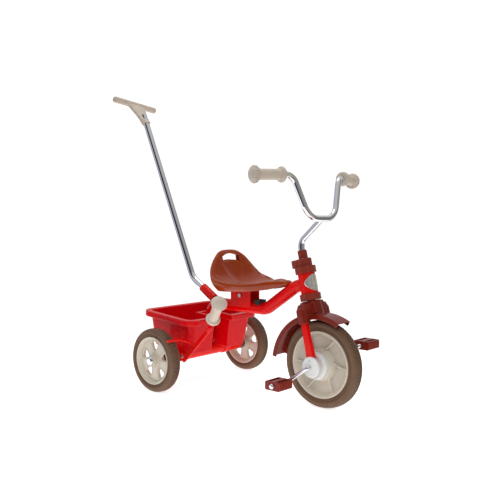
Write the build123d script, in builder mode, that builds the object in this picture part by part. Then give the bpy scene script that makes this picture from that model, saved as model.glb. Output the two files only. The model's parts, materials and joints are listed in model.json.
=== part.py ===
"""Children's tricycle with a carrying bucket, a parking brake and a removable push handle.

Frame of reference: +X forward, +Y to the rider's left, +Z up, millimetres.
The origin lies on the ground under the middle of the tricycle.
"""
from build123d import *
from math import atan2, cos, degrees, radians, sin, tan
import os

os.makedirs("parts", exist_ok=True)

# ---------------------------------------------------------------- driving sizes
# fits
RUNNING_GAP = 0.3           # between faces that pass each other
SHAFT_PLAY = 0.06           # radial, a shaft in its bearing
SEAT_PLAY = 0.05            # between pieces that are pushed or screwed together
SOCKET_PLAY = 0.1           # radial, push tube in its socket

# layout
WHEELBASE = 487.0
REAR_AXLE_X = -117.1        # puts the origin under the middle of the tricycle
TRACK = 410.0               # between the middle planes of the rear tyres
RAKE = 13.5                 # steering axis, degrees from vertical

# rear wheels
REAR_RADIUS = 98.5
REAR_RIM_RADIUS = 73.5
REAR_TYRE_WIDTH = 37.0
REAR_HUB_RADIUS = 17.0
REAR_HUB_WIDTH = 42.0
REAR_WEB_THICKNESS = 9.0
REAR_WINDOWS = 5
AXLE_RADIUS = 6.0
HUB_CAP_RADIUS = 14.0
HUB_CAP_DEPTH = 8.0
HUB_CAP_ROUNDING = 6.5

# front wheel
FRONT_RADIUS = 125.0
FRONT_RIM_RADIUS = 95.4
FRONT_TYRE_WIDTH = 36.0
FRONT_HUB_RADIUS = 38.0
FRONT_HUB_WIDTH = 86.0
FRONT_WEB_THICKNESS = 10.0
FRONT_RIBS = 6
RIB_CURVE = [(37.0, 0.0), (50.0, -19.0), (74.0, -39.0)]
RIB_THICKNESS = 4.4
RIM_DEPTH = 9.0             # thickness of each wheel's rim ring
TYRE_SHOULDER = 8.0
WHEEL_DRAFT = 4.0           # slope of the hub and of the rim towards the web
WINDOW_CORNERS = [(26.0, -4.0), (55.0, -15.0), (59.0, 0.0), (55.0, 15.0), (26.0, 4.0)]

# frame tubes
TUBE_RADIUS = 18.5
TUBE_WALL = 2.0
BACKBONE_HEIGHT = 262.0
NECK_SETBACK = 47.0         # upper bend, behind the steering axis
NECK_HEIGHT = 338.0
NECK_JOIN_HEIGHT = 352.0
BACKBONE_BEND = 277.0       # lower bend ahead of the rear axle
BACKBONE_DROP = 48.0        # corner over the bucket recess, ahead of the rear axle
BEND_RADIUS = 50.0
HOUSING_RADIUS = 19.0
HOUSING_HALF = 168.0
HEAD_RADIUS = 25.0
HEAD_WALL = 3.0
HEAD_LOW = 185.5            # along the steering axis, from the front axle
HEAD_HIGH = 278.5

# head cups and the pieces above them
CUP_RADIUS = 30.5
CUP_SKIRT = 17.0
CUP_FLANGE = 2.5
CUP_SPIGOT = 12.0
BADGE_RADIUS = 24.6
BADGE_SHEET = 1.0
STEERER_RADIUS = 12.0
STEERER_BORE = 9.6
LOCK_NUT_RADIUS = 22.5
LOCK_NUT_HEIGHT = 23.0
LOCK_BLOCK_REACH = 33.0
LOCK_BLOCK_WIDTH = 33.75
TOP_CHAMFER = 1.5
COLLAR_RADIUS = 13.5
COLLAR_HEIGHT = 25.0

# fork
LEG_CENTRE = 50.0
LEG_THICKNESS = 10.0
LEG_TOP_WIDTH = 20.0
LEG_FOOT_WIDTH = 27.0
LEG_FLARE_HEIGHT = 30.0
CROWN_LOW = 149.0
CROWN_HEIGHT = 20.0
CROWN_WIDTH = 24.0
LEG_ROUNDING = 3.0

# fender and crown cover
FENDER_HALF = 29.0
FENDER_SKIN = 2.5
FENDER_FLANGE = 15.0
FENDER_CENTRE = (-4.3, -17.6)     # from the front axle
FENDER_RADIUS = 161.3
FENDER_FRONT_ANGLE = 62.0         # degrees from +X towards +Z
FENDER_REAR_ANGLE = 172.0
COVER_TOP = 180.0
COVER_COLUMN_RADIUS = 26.5
COVER_WALL = 4.0
COLUMN_DRAFT = 4.0          # degrees
SLEEVE_DRAFT = 6.0
SLEEVE_RIB = 6.0
SLEEVE_LOW = 123.0

# handlebar
BAR_RADIUS = 9.0
BAR_WALL = 1.6
STEM_RADIUS = 9.5
STEM_TIP = 225.0            # lower end, along the steering axis
STEM_BEND = 352.0           # start of the forward bend, along the steering axis
BAR_MIDDLE = (482.0, 537.0)       # ahead of the rear axle, above ground
BAR_HALF = 61.0
BAR_ELBOW = (461.0, 109.0, 656.0)
BAR_END = (428.5, 234.0, 652.5)
BAR_LOW_RADIUS = 58.0
BAR_HIGH_RADIUS = 36.0
STEM_BEND_RADIUS = 30.0

# grips
GRIP_LENGTH = 108.0
GRIP_RADIUS = 15.0
GRIP_FLANGE_RADIUS = 22.0
GRIP_FLANGE_LENGTH = 13.0
GRIP_CAP_RADIUS = 24.0
GRIP_CAP_LENGTH = 22.0
GRIP_END_WALL = 8.0
GRIP_BEAD = 5.0             # rounded edges of the flange and of the cap
GRIP_FLARE = 1.5
CAP_SHOULDER = 6.0
DOME_START = 13.0
DOME_INSET = 3.0

# cranks and pedals
CRANK_RADIUS = 5.5
CRANK_ANGLE = 214.6         # right crank, degrees from +X towards +Z
CRANK_LENGTH = 90.0
CRANK_PLANE = 70.5
CRANK_BEND = 8.0
PEDAL_INNER = 79.0
PEDAL_LENGTH = 58.0
PEDAL_WIDTH = 52.0
PEDAL_HEIGHT = 25.0
PEDAL_WALL = 6.0
PEDAL_ROUNDING = 4.0
PEDAL_WINDOW = 12.0
SPINDLE_END = 139.0
SPINDLE_CAP_RADIUS = 8.0
SPINDLE_CAP_DEPTH = 6.4
SPINDLE_CAP_ROUNDING = 4.8

# hub covers
COVER_DISC_RADIUS = 29.0
COVER_DISC_DEPTH = 6.5
BUSH_WALL = 2.5
COVER_SCREW_HEIGHT = 17.5
COVER_SCREW_RADIUS = 3.0
COVER_SCREW_HEAD = 1.5

# seat
SEAT_OUTLINE = [           # ahead of the rear axle, half width
    (111, 42), (118, 65), (125, 86), (137, 104), (160, 117),
    (200, 113), (236, 90), (266, 60), (300, 38), (340, 27),
]
SEAT_REAR = 107.0
SEAT_NOSE = 369.0
SEAT_CREST = 438.0
SEAT_CURVE = [             # ahead of the rear axle, height
    (109, 438), (113, 437), (119, 428), (126, 408), (137, 386),
    (158, 364), (200, 349), (250, 342), (310, 352), (380, 355),
]
SEAT_BACK = [(106, 438), (107, 404), (115, 362), (140, 316)]
SEAT_FLANK = [(96, 316), (113, 329), (119, 346)]           # half width, height
SEAT_HEM = [(250, 316), (330, 330), (380, 342)]
SEAT_SKIN = 4.0
SLOT_HALF = 38.0
SLOT_LOW = 404.0
SLOT_HIGH = 427.0
SEAT_BOSS_LOW = 330.0
SEAT_BOSS_HALF = 20.0

# seat bracket
BRACKET_START = 146.0
BRACKET_LENGTH = 82.0
BRACKET_PLATE = 3.0
SCREW_RADIUS = 2.5
SCREW_HEAD_RADIUS = 5.0
BUFFER_START = 239.0
BUFFER_LENGTH = 22.0
BUFFER_HALF = 13.0
BUFFER_HEIGHT = 8.0
CROSS_BOLT_X = 186.0
CROSS_BOLT_Z = 298.0
CROSS_BOLT_RADIUS = 4.0
CROSS_BOLT_HEAD = 6.4
SCREW_EDGE = 11.0           # screw centres to the bracket's ends
SCREW_GAUGE = 22.0          # across the bracket
SCREW_GRIP = 5.0            # thread in the seat's post
SCREW_HEAD_DEPTH = 3.0
SLOT_DEPTH = 60.0
OUTLINE_STEPS = 36

# bucket, in its own tilted frame over the rear axle
BUCKET_PITCH = 4.5
BUCKET_HEIGHT = 113.0
BUCKET_WALL = 3.0
BUCKET_TOP = (-118.0, 81.5, 146.0)      # rear, front, half width of the wall at the rim
BUCKET_FLOOR = (-105.0, 73.5, 130.0)
BUCKET_CORNER = 24.0
RIM_LIP = 17.0
RIM_SKIRT = 18.0
RECESS_TOP = (-4.0, 34.0)               # back wall, half width
RECESS_FLOOR = (-20.0, 36.0)
RECESS_LIP = 8.0
CLIP_Y = 92.0
CLIP_WIDTH = 18.0
CLIP_SHEET = 2.5

# parking brake
BRAKE_PLANE = 133.5
BRAKE_SHEET = 4.0
BRAKE_PIVOT = (44.0, 106.0)
STRAP_FOOT = (51.0, 93.0)
STRAP_HEAD = (168.0, 209.0)
STRAP_WIDTH = 13.0
BRAKE_NECK_RADIUS = 6.0
BRAKE_GRIP_BASE = (176.0, -132.0, 232.0)
BRAKE_GRIP_WAY = (0.666, -0.376, 0.643)
BRAKE_ROD_RADIUS = 4.0
BRAKE_CONTACT_GAP = 1.2
BRAKE_CONTACT_ANGLE = 42.0
PIVOT_BOLT_RADIUS = 4.0
PIVOT_EYE_RADIUS = 12.0
BRACKET_EDGE = 4.0
BOLT_HEAD_RADIUS = 7.2
BOLT_HEAD_DEPTH = 3.5
BOLT_HEAD_ROUNDING = 2.0
BOLT_TAIL = 6.0
BRAKE_NUT_DEPTH = 5.0
NECK_LAP = 18.0             # round neck inside the flat strap
NECK_STRAIGHT = 16.0
NECK_ENTRY = 9.0            # last bend, before the grip
NECK_RADII = [8.0, 14.0]
ROD_FOOT = [(105.0, 0.0, 146.6), (91.0, 1.0, 155.0)]      # the middle value is outward from the strap
ROD_RADII = [8.0, 12.0]

# push handle
PUSH_RADIUS = 11.0
PUSH_WALL = 1.5
SOCKET_RADIUS = 14.5
SOCKET_FOOT = (52.0, 275.6)
SOCKET_MOUTH = (-1.0, 308.5)
PUSH_KNEE = (-50.0, 339.0)
PUSH_KNEE_RADIUS = 60.0
PUSH_SPLIT = (-198.0, 670.0)
PUSH_UPPER_LENGTH = 257.0
SPIGOT_LENGTH = 40.0
TEE_CENTRE = (-352.0, 946.0)
TEE_HALF = 106.0
TEE_RADIUS = 11.0
TEE_TWIST = 9.0
TEE_SOCKET = 35.0
BUTTON_RADIUS = 3.5
BUTTON_TRAVEL = 3.0
BUTTON_ROUNDING = 2.1
PUSH_INSERTION = 50.0       # push tube inside its socket
TEE_ROUNDING = 7.7
TEE_NECK_WALL = 4.0
TEE_BLOCK = (85.0, 15.4, 6.6)      # width, depth and corner radius where the neck meets the bar


# ---------------------------------------------------------------- places worked out from the sizes
def fore(x, y, z):
    """A point given by its distance ahead of the rear axle."""
    return Vector(REAR_AXLE_X + x, y, z)


rake = radians(RAKE)
front_axle = fore(WHEELBASE, 0, FRONT_RADIUS)
steer = Plane(origin=front_axle, x_dir=(cos(rake), 0, sin(rake)), z_dir=(-sin(rake), 0, cos(rake)))
steer_side = Plane(origin=front_axle, x_dir=steer.x_dir, z_dir=(0, -1, 0))
steer_axis = Axis(front_axle, steer.z_dir)
rear_axle_centre = fore(0, 0, REAR_RADIUS)
rear_axis = Axis(rear_axle_centre, (0, 1, 0))
front_axis = Axis(front_axle, (0, 1, 0))
side = Plane.XZ


def steer_point(height):
    """A point on the steering axis, height measured from the front axle."""
    return front_axle + steer.z_dir * height


def axis_plane(point, way):
    """A plane whose normal follows way, for sections of tubes and turned pieces."""
    return Plane(origin=point, z_dir=way)


def tube(points, radii, radius, wall):
    """A bent round tube along points, with a bend radius for each inner corner."""
    with BuildPart() as piece:
        with BuildLine() as path:
            FilletPolyline(*points, radius=radii)
        with BuildSketch(axis_plane(path.wire() @ 0, path.wire() % 0)):
            Circle(radius)
            if wall:
                Circle(radius - wall, mode=Mode.SUBTRACT)
        sweep(path=path.wire())
    return piece.part


# ================================================================ frame
neck_x = WHEELBASE - tan(rake) * (NECK_HEIGHT - FRONT_RADIUS)
join_x = WHEELBASE - tan(rake) * (NECK_JOIN_HEIGHT - FRONT_RADIUS)
backbone_points = [
    fore(join_x, 0, NECK_JOIN_HEIGHT),
    fore(neck_x - NECK_SETBACK, 0, NECK_HEIGHT),
    fore(BACKBONE_BEND, 0, BACKBONE_HEIGHT),
    fore(BACKBONE_DROP, 0, BACKBONE_HEIGHT),
    rear_axle_centre,
]

# ---------------------------------------------------------------- head tube
with BuildPart() as head_tube:
    with BuildSketch(steer.offset(HEAD_LOW)):
        Circle(HEAD_RADIUS)
        Circle(HEAD_RADIUS - HEAD_WALL, mode=Mode.SUBTRACT)
    extrude(amount=HEAD_HIGH - HEAD_LOW)
head_tube.part.label = "head_tube"
export_step(head_tube.part, "parts/head_tube.step")

# ---------------------------------------------------------------- main tube
with BuildPart() as main_tube:
    add(tube(backbone_points, BEND_RADIUS, TUBE_RADIUS, TUBE_WALL))
    with BuildSketch(steer.offset(HEAD_LOW)):
        Circle(HEAD_RADIUS + SEAT_PLAY)
    extrude(amount=HEAD_HIGH - HEAD_LOW, mode=Mode.SUBTRACT)
    with BuildSketch(side.offset(-HOUSING_HALF)):
        with Locations((REAR_AXLE_X, REAR_RADIUS)):
            Circle(HOUSING_RADIUS + SEAT_PLAY)
    extrude(amount=2 * HOUSING_HALF, mode=Mode.SUBTRACT)
    # what is left of the tube beyond the head tube and the housing falls away
    main_tube_solid = main_tube.part.solids().sort_by(SortBy.VOLUME)[-1]
main_tube_solid.label = "main_tube"
export_step(main_tube_solid, "parts/main_tube.step")

# ---------------------------------------------------------------- rear axle housing
with BuildPart() as rear_axle_housing:
    with BuildSketch(side.offset(-HOUSING_HALF)):
        with Locations((REAR_AXLE_X, REAR_RADIUS)):
            Circle(HOUSING_RADIUS)
            Circle(HOUSING_RADIUS - TUBE_WALL, mode=Mode.SUBTRACT)
    extrude(amount=2 * HOUSING_HALF)
rear_axle_housing.part.label = "rear_axle_housing"
export_step(rear_axle_housing.part, "parts/rear_axle_housing.step")

# ---------------------------------------------------------------- axle bushes, one at each end of the housing
hub_inner = TRACK / 2 - REAR_HUB_WIDTH / 2
for name, hand in (("right", -1), ("left", 1)):
    end = rear_axle_centre + Vector(0, hand * HOUSING_HALF, 0)
    outward = axis_plane(end, (0, hand, 0))
    with BuildPart() as axle_bush:
        with BuildSketch(outward):
            Circle(HOUSING_RADIUS)
        extrude(amount=hub_inner - RUNNING_GAP - HOUSING_HALF)
        with BuildSketch(outward):
            Circle(HOUSING_RADIUS - TUBE_WALL - SEAT_PLAY)
        extrude(amount=-CUP_SPIGOT)
        with BuildSketch(outward):
            Circle(AXLE_RADIUS + SEAT_PLAY)
        extrude(amount=2 * TRACK, both=True, mode=Mode.SUBTRACT)
    axle_bush.part.label = f"axle_bush_{name}"
    export_step(axle_bush.part, f"parts/axle_bush_{name}.step")

# ---------------------------------------------------------------- rear axle and its push-on caps
hub_outer = TRACK / 2 + REAR_HUB_WIDTH / 2
cap_seat = hub_outer + RUNNING_GAP
with BuildPart() as rear_axle:
    with BuildSketch(side.offset(-cap_seat - HUB_CAP_DEPTH / 2)):
        with Locations((REAR_AXLE_X, REAR_RADIUS)):
            Circle(AXLE_RADIUS)
    extrude(amount=2 * cap_seat + HUB_CAP_DEPTH)
rear_axle.part.label = "rear_axle"
export_step(rear_axle.part, "parts/rear_axle.step")

with BuildPart() as hub_caps:
    for hand in (-1, 1):
        cap_plane = axis_plane(rear_axle_centre + Vector(0, hand * cap_seat, 0), (0, hand, 0))
        with BuildSketch(cap_plane):
            Circle(HUB_CAP_RADIUS)
        extrude(amount=HUB_CAP_DEPTH)
        rim_edge = hub_caps.edges().filter_by(GeomType.CIRCLE).sort_by(Axis.Y)[0 if hand < 0 else -1]
        fillet(rim_edge, HUB_CAP_ROUNDING)
        with BuildSketch(cap_plane):
            Circle(AXLE_RADIUS + SEAT_PLAY)
        extrude(amount=HUB_CAP_DEPTH / 2 + SEAT_PLAY, mode=Mode.SUBTRACT)
hub_caps.part.label = "hub_caps"
export_step(hub_caps.part, "parts/hub_caps.step")

# ---------------------------------------------------------------- head cups
def head_cup(tube_end, up):
    """A plastic cup that caps one end of the head tube and guides the steerer."""
    bore = STEERER_RADIUS + SHAFT_PLAY
    spigot = HEAD_RADIUS - HEAD_WALL - SEAT_PLAY
    grip = HEAD_RADIUS + SEAT_PLAY
    outline = [(bore, -CUP_SPIGOT), (spigot, -CUP_SPIGOT), (spigot, 0), (grip, 0), (grip, -CUP_SKIRT),
               (CUP_RADIUS, -CUP_SKIRT), (CUP_RADIUS, CUP_FLANGE), (bore, CUP_FLANGE)]
    with BuildPart() as cup:
        with BuildSketch(steer_side):
            with BuildLine():
                Polyline(*[(r, tube_end + up * h) for r, h in outline], close=True)
            make_face()
        revolve(axis=steer_axis)
    return cup.part


upper_head_cup = head_cup(HEAD_HIGH, 1)
upper_head_cup.label = "upper_head_cup"
export_step(upper_head_cup, "parts/upper_head_cup.step")
lower_head_cup = head_cup(HEAD_LOW, -1)
lower_head_cup.label = "lower_head_cup"
export_step(lower_head_cup, "parts/lower_head_cup.step")

# ---------------------------------------------------------------- head badge, a plain plate bent round the tube
with BuildPart() as head_badge:
    with BuildSketch(steer.offset(HEAD_LOW)):
        Circle(HEAD_RADIUS + SEAT_PLAY + BADGE_SHEET)
        Circle(HEAD_RADIUS + SEAT_PLAY, mode=Mode.SUBTRACT)
    extrude(amount=HEAD_HIGH - HEAD_LOW)
    with BuildSketch(axis_plane(steer_point((HEAD_LOW + HEAD_HIGH) / 2), steer.x_dir)):
        Circle(BADGE_RADIUS)
    extrude(amount=2 * HEAD_RADIUS, mode=Mode.INTERSECT)
head_badge.part.label = "head_badge"
export_step(head_badge.part, "parts/head_badge.step")

# ---------------------------------------------------------------- seat bracket, a channel over the main tube
bracket_half = TUBE_RADIUS + SEAT_PLAY + BRACKET_PLATE
bracket_top = SEAT_BOSS_LOW - SEAT_PLAY
bracket_middle = REAR_AXLE_X + BRACKET_START + BRACKET_LENGTH / 2
screw_spacing = (BRACKET_LENGTH - 2 * SCREW_EDGE, SCREW_GAUGE)
with BuildPart() as seat_bracket:
    with BuildSketch(Plane.XY.offset(BACKBONE_HEIGHT)):
        with Locations((bracket_middle, 0)):
            Rectangle(BRACKET_LENGTH, 2 * bracket_half)
    extrude(amount=bracket_top - BACKBONE_HEIGHT)
    with BuildSketch(Plane.XY.offset(BACKBONE_HEIGHT)):
        with Locations((bracket_middle, 0)):
            Rectangle(BRACKET_LENGTH + 2, 2 * (TUBE_RADIUS + SEAT_PLAY))
    extrude(amount=bracket_top - BRACKET_PLATE - BACKBONE_HEIGHT, mode=Mode.SUBTRACT)
    with BuildSketch(Plane.XY.offset(bracket_top)):
        with Locations((bracket_middle, 0)):
            with GridLocations(*screw_spacing, 2, 2):
                Circle(SCREW_RADIUS + SEAT_PLAY)
    extrude(amount=-BRACKET_PLATE, mode=Mode.SUBTRACT)
    with BuildSketch(side.offset(-bracket_half)):
        with Locations((REAR_AXLE_X + CROSS_BOLT_X, CROSS_BOLT_Z)):
            Circle(CROSS_BOLT_RADIUS + SEAT_PLAY)
    extrude(amount=2 * bracket_half, mode=Mode.SUBTRACT)
seat_bracket.part.label = "seat_bracket"
export_step(seat_bracket.part, "parts/seat_bracket.step")

# ---------------------------------------------------------------- cross bolt of the seat bracket, and its nut
with BuildPart() as bracket_cross_bolt:
    bolt_centre = fore(CROSS_BOLT_X, 0, CROSS_BOLT_Z)
    for hand in (-1, 1):
        bolt_face = bolt_centre + Vector(0, hand * (bracket_half + SEAT_PLAY), 0)
        with BuildSketch(axis_plane(bolt_face, (0, hand, 0))):
            RegularPolygon(CROSS_BOLT_HEAD, 6)
        extrude(amount=CROSS_BOLT_RADIUS)
    with BuildSketch(axis_plane(bolt_centre - Vector(0, bracket_half + SEAT_PLAY, 0), (0, 1, 0))):
        Circle(CROSS_BOLT_RADIUS)
    extrude(amount=2 * (bracket_half + SEAT_PLAY))
bracket_cross_bolt.part.label = "bracket_cross_bolt"
export_step(bracket_cross_bolt.part, "parts/bracket_cross_bolt.step")

# ---------------------------------------------------------------- seat
def seat_outline(inset):
    """Plan of the seat, a broad rear and a narrow nose, moved inwards by inset."""
    right = [(REAR_AXLE_X + x, -w) for x, w in SEAT_OUTLINE]
    left = [(x, -y) for x, y in reversed(right)]
    with BuildLine() as rim:
        Spline((REAR_AXLE_X + SEAT_REAR, 0), *right, (REAR_AXLE_X + SEAT_NOSE, 0), *left, periodic=True)
    edge = rim.edge()
    steps = [step / OUTLINE_STEPS for step in range(OUTLINE_STEPS)]
    inner = [edge @ t + Vector(-(edge % t).Y, (edge % t).X, 0) * inset for t in steps]
    with BuildSketch(Plane.XY) as plan:
        with BuildLine():
            Spline(*inner, periodic=True)
        make_face()
    return plan.sketch


def seat_profile(skin, below):
    """Side view of the seat between its upper curve, its raked back and its hem; a hollow starts lower."""
    hollow = 1 if skin else 0
    curve = [(REAR_AXLE_X + x, z - skin) for x, z in SEAT_CURVE[2 * hollow:]]
    back = [(REAR_AXLE_X + x + skin, z - below) for x, z in SEAT_BACK[hollow:]]
    hem = [(REAR_AXLE_X + x, z - below) for x, z in SEAT_HEM]
    with BuildSketch(side) as profile:
        with BuildLine():
            Spline(*curve)
            Polyline(curve[-1], *reversed(hem), back[-1])
            Spline(*reversed(back))
            Line(back[0], curve[0])
        make_face()
    return profile.sketch


def seat_front(skin, below):
    """Front view of the seat: flanks that tuck in below the rim."""
    right = [(-half + skin, z - below) for half, z in SEAT_FLANK]
    left = [(-y, z) for y, z in right]
    with BuildSketch(Plane.YZ) as front:
        with BuildLine():
            Spline(*right)
            Polyline(right[-1], (right[-1][0], SEAT_CREST), (left[-1][0], SEAT_CREST), left[-1])
            Spline(*reversed(left))
            Line(left[0], right[0])
        make_face()
    return front.sketch


def seat_form(inset, skin, below):
    """The solid inside an inset outline, between a lowered upper curve and the hem."""
    with BuildPart() as form:
        extrude(seat_profile(skin, below), amount=SEAT_NOSE, both=True)
        extrude(seat_front(skin, below), amount=SEAT_NOSE, both=True, mode=Mode.INTERSECT)
        extrude(seat_outline(inset), amount=SEAT_CREST, dir=(0, 0, 1), mode=Mode.INTERSECT)
    return form.part


seat_inside = seat_form(SEAT_SKIN, SEAT_SKIN, 1)
buffer_top = BACKBONE_HEIGHT + TUBE_RADIUS + BUFFER_HEIGHT
boss_length = BRACKET_LENGTH - 4
with BuildPart() as seat_ribs:
    with BuildSketch(Plane.XY.offset(SEAT_BOSS_LOW)):
        with Locations((bracket_middle, 0)):
            Rectangle(boss_length, 2 * SEAT_BOSS_HALF)
    extrude(amount=SEAT_CREST - SEAT_BOSS_LOW)
    with BuildSketch(Plane.XY.offset(buffer_top + SEAT_PLAY)):
        with Locations((REAR_AXLE_X + BUFFER_START + BUFFER_LENGTH / 2, 0)):
            Rectangle(BUFFER_LENGTH - 4, 2 * BUFFER_HALF)
    extrude(amount=SEAT_CREST - buffer_top)
    add(seat_form(SEAT_SKIN - 1, SEAT_SKIN - 1, BACKBONE_HEIGHT / 2), mode=Mode.INTERSECT)
with BuildPart() as seat:
    add(seat_form(0, 0, 0))
    add(seat_inside, mode=Mode.SUBTRACT)
    add(seat_ribs.part)
    # the nose straddles the rising tube
    add(tube(backbone_points, BEND_RADIUS, TUBE_RADIUS + RUNNING_GAP, 0), mode=Mode.SUBTRACT)
    with BuildSketch(Plane.YZ.offset(REAR_AXLE_X + SEAT_REAR - 10)):
        with Locations((0, (SLOT_LOW + SLOT_HIGH) / 2)):
            SlotOverall(2 * SLOT_HALF, SLOT_HIGH - SLOT_LOW)
    extrude(amount=SLOT_DEPTH, mode=Mode.SUBTRACT)
    with BuildSketch(Plane.XY.offset(SEAT_BOSS_LOW)):
        with Locations((bracket_middle, 0)):
            with GridLocations(*screw_spacing, 2, 2):
                Circle(SCREW_RADIUS + SEAT_PLAY)
    extrude(amount=SCREW_GRIP + 1, mode=Mode.SUBTRACT)
seat.part.label = "seat"
export_step(seat.part, "parts/seat.step")

# ---------------------------------------------------------------- seat screws, from below through the bracket
with BuildPart() as seat_screws:
    with BuildSketch(Plane.XY.offset(bracket_top - BRACKET_PLATE - SEAT_PLAY)):
        with Locations((bracket_middle, 0)):
            with GridLocations(*screw_spacing, 2, 2):
                Circle(SCREW_RADIUS)
    extrude(amount=BRACKET_PLATE + SCREW_GRIP)
    with BuildSketch(Plane.XY.offset(bracket_top - BRACKET_PLATE - SEAT_PLAY)):
        with Locations((bracket_middle, 0)):
            with GridLocations(*screw_spacing, 2, 2):
                Circle(SCREW_HEAD_RADIUS)
    extrude(amount=-SCREW_HEAD_DEPTH)
seat_screws.part.label = "seat_screws"
export_step(seat_screws.part, "parts/seat_screws.step")

# ---------------------------------------------------------------- rubber buffer under the seat's front post
with BuildPart() as seat_buffer:
    with BuildSketch(Plane.XY.offset(BACKBONE_HEIGHT)):
        with Locations((REAR_AXLE_X + BUFFER_START + BUFFER_LENGTH / 2, 0)):
            Rectangle(BUFFER_LENGTH, 2 * BUFFER_HALF + 4)
    extrude(amount=TUBE_RADIUS + BUFFER_HEIGHT)
    add(tube(backbone_points, BEND_RADIUS, TUBE_RADIUS + SEAT_PLAY, 0), mode=Mode.SUBTRACT)
    buffer_solid = seat_buffer.part.solids().sort_by(Axis.Z)[-1]
buffer_solid.label = "seat_buffer"
export_step(buffer_solid, "parts/seat_buffer.step")

# ---------------------------------------------------------------- socket for the push handle
socket_foot_point = fore(SOCKET_FOOT[0], 0, SOCKET_FOOT[1])
socket_way = (fore(SOCKET_MOUTH[0], 0, SOCKET_MOUTH[1]) - socket_foot_point).normalized()
socket_length = (fore(SOCKET_MOUTH[0], 0, SOCKET_MOUTH[1]) - fore(SOCKET_FOOT[0], 0, SOCKET_FOOT[1])).length
with BuildPart() as push_socket:
    with BuildSketch(axis_plane(fore(SOCKET_FOOT[0], 0, SOCKET_FOOT[1]), socket_way)):
        Circle(SOCKET_RADIUS)
        Circle(PUSH_RADIUS + SOCKET_PLAY, mode=Mode.SUBTRACT)
    extrude(amount=socket_length)
    add(tube(backbone_points, BEND_RADIUS, TUBE_RADIUS + SEAT_PLAY, 0), mode=Mode.SUBTRACT)
push_socket.part.label = "push_socket"
export_step(push_socket.part, "parts/push_socket.step")

# ---------------------------------------------------------------- bucket
tilt = radians(BUCKET_PITCH)
bucket_plane = Plane(
    origin=rear_axle_centre + Vector(0, 0, (HOUSING_RADIUS + SEAT_PLAY) / cos(tilt)),
    x_dir=(cos(tilt), 0, -sin(tilt)),
    z_dir=(sin(tilt), 0, cos(tilt)),
)


def bucket_outline(height, wall, recess, grow, recess_grow):
    """A rounded rectangle with a recess in its front side, grown outwards by grow."""
    rear, front, half = wall
    back, half_recess = recess
    recess_start = back + recess_grow
    recess_end = front + grow + BUCKET_CORNER
    with BuildSketch(bucket_plane.offset(height)) as outline:
        with Locations(((rear + front) / 2, 0)):
            RectangleRounded(front - rear + 2 * grow, 2 * (half + grow), BUCKET_CORNER + grow)
        with Locations(((recess_start + recess_end) / 2, 0)):
            Rectangle(recess_end - recess_start, 2 * (half_recess - recess_grow), mode=Mode.SUBTRACT)
    return outline.sketch


def bucket_form(grow, base, top):
    """The drafted body of the bucket between two heights."""
    with BuildPart() as form:
        loft([bucket_outline(base, BUCKET_FLOOR, RECESS_FLOOR, grow, grow).face(),
              bucket_outline(top, BUCKET_TOP, RECESS_TOP, grow, grow).face()])
    return form.part


skirt_base = BUCKET_HEIGHT - RIM_SKIRT
skirt_inside = bucket_outline(
    skirt_base, BUCKET_TOP, RECESS_TOP, RIM_LIP - BUCKET_WALL, RECESS_LIP - BUCKET_WALL
)
with BuildPart() as bucket:
    extrude(bucket_outline(skirt_base, BUCKET_TOP, RECESS_TOP, RIM_LIP, RECESS_LIP), amount=RIM_SKIRT)
    extrude(skirt_inside, amount=RIM_SKIRT - BUCKET_WALL, mode=Mode.SUBTRACT)
    add(bucket_form(0, 0, BUCKET_HEIGHT))
    add(bucket_form(-BUCKET_WALL, BUCKET_WALL, BUCKET_HEIGHT), mode=Mode.SUBTRACT)
bucket.part.label = "bucket"
export_step(bucket.part, "parts/bucket.step")

# ---------------------------------------------------------------- straps that hold the bucket to the housing
with BuildPart() as bucket_clips:
    strap_outer = HOUSING_RADIUS + SEAT_PLAY + CLIP_SHEET
    for hand in (-1, 1):
        with BuildSketch(side.offset(-hand * CLIP_Y - CLIP_WIDTH / 2)):
            with Locations((REAR_AXLE_X, REAR_RADIUS)):
                Circle(strap_outer)
            with Locations((REAR_AXLE_X, REAR_RADIUS + strap_outer / 2)):
                Rectangle(2 * strap_outer, strap_outer)
            with Locations((REAR_AXLE_X, REAR_RADIUS)):
                Circle(HOUSING_RADIUS + SEAT_PLAY, mode=Mode.SUBTRACT)
            with Locations((REAR_AXLE_X, REAR_RADIUS + strap_outer / 2)):
                Rectangle(2 * (HOUSING_RADIUS + SEAT_PLAY), strap_outer, mode=Mode.SUBTRACT)
        extrude(amount=CLIP_WIDTH)
    split(bisect_by=bucket_plane.offset(-SEAT_PLAY), keep=Keep.BOTTOM)
bucket_clips.part.label = "bucket_clips"
export_step(bucket_clips.part, "parts/bucket_clips.step")

# ---------------------------------------------------------------- parking brake
pivot = fore(BRAKE_PIVOT[0], 0, BRAKE_PIVOT[1])
lever_inner = BRAKE_PLANE - BRAKE_SHEET / 2
bracket_inner = lever_inner - RUNNING_GAP - BRAKE_SHEET
pivot_head = lever_inner + BRAKE_SHEET + RUNNING_GAP

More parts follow.
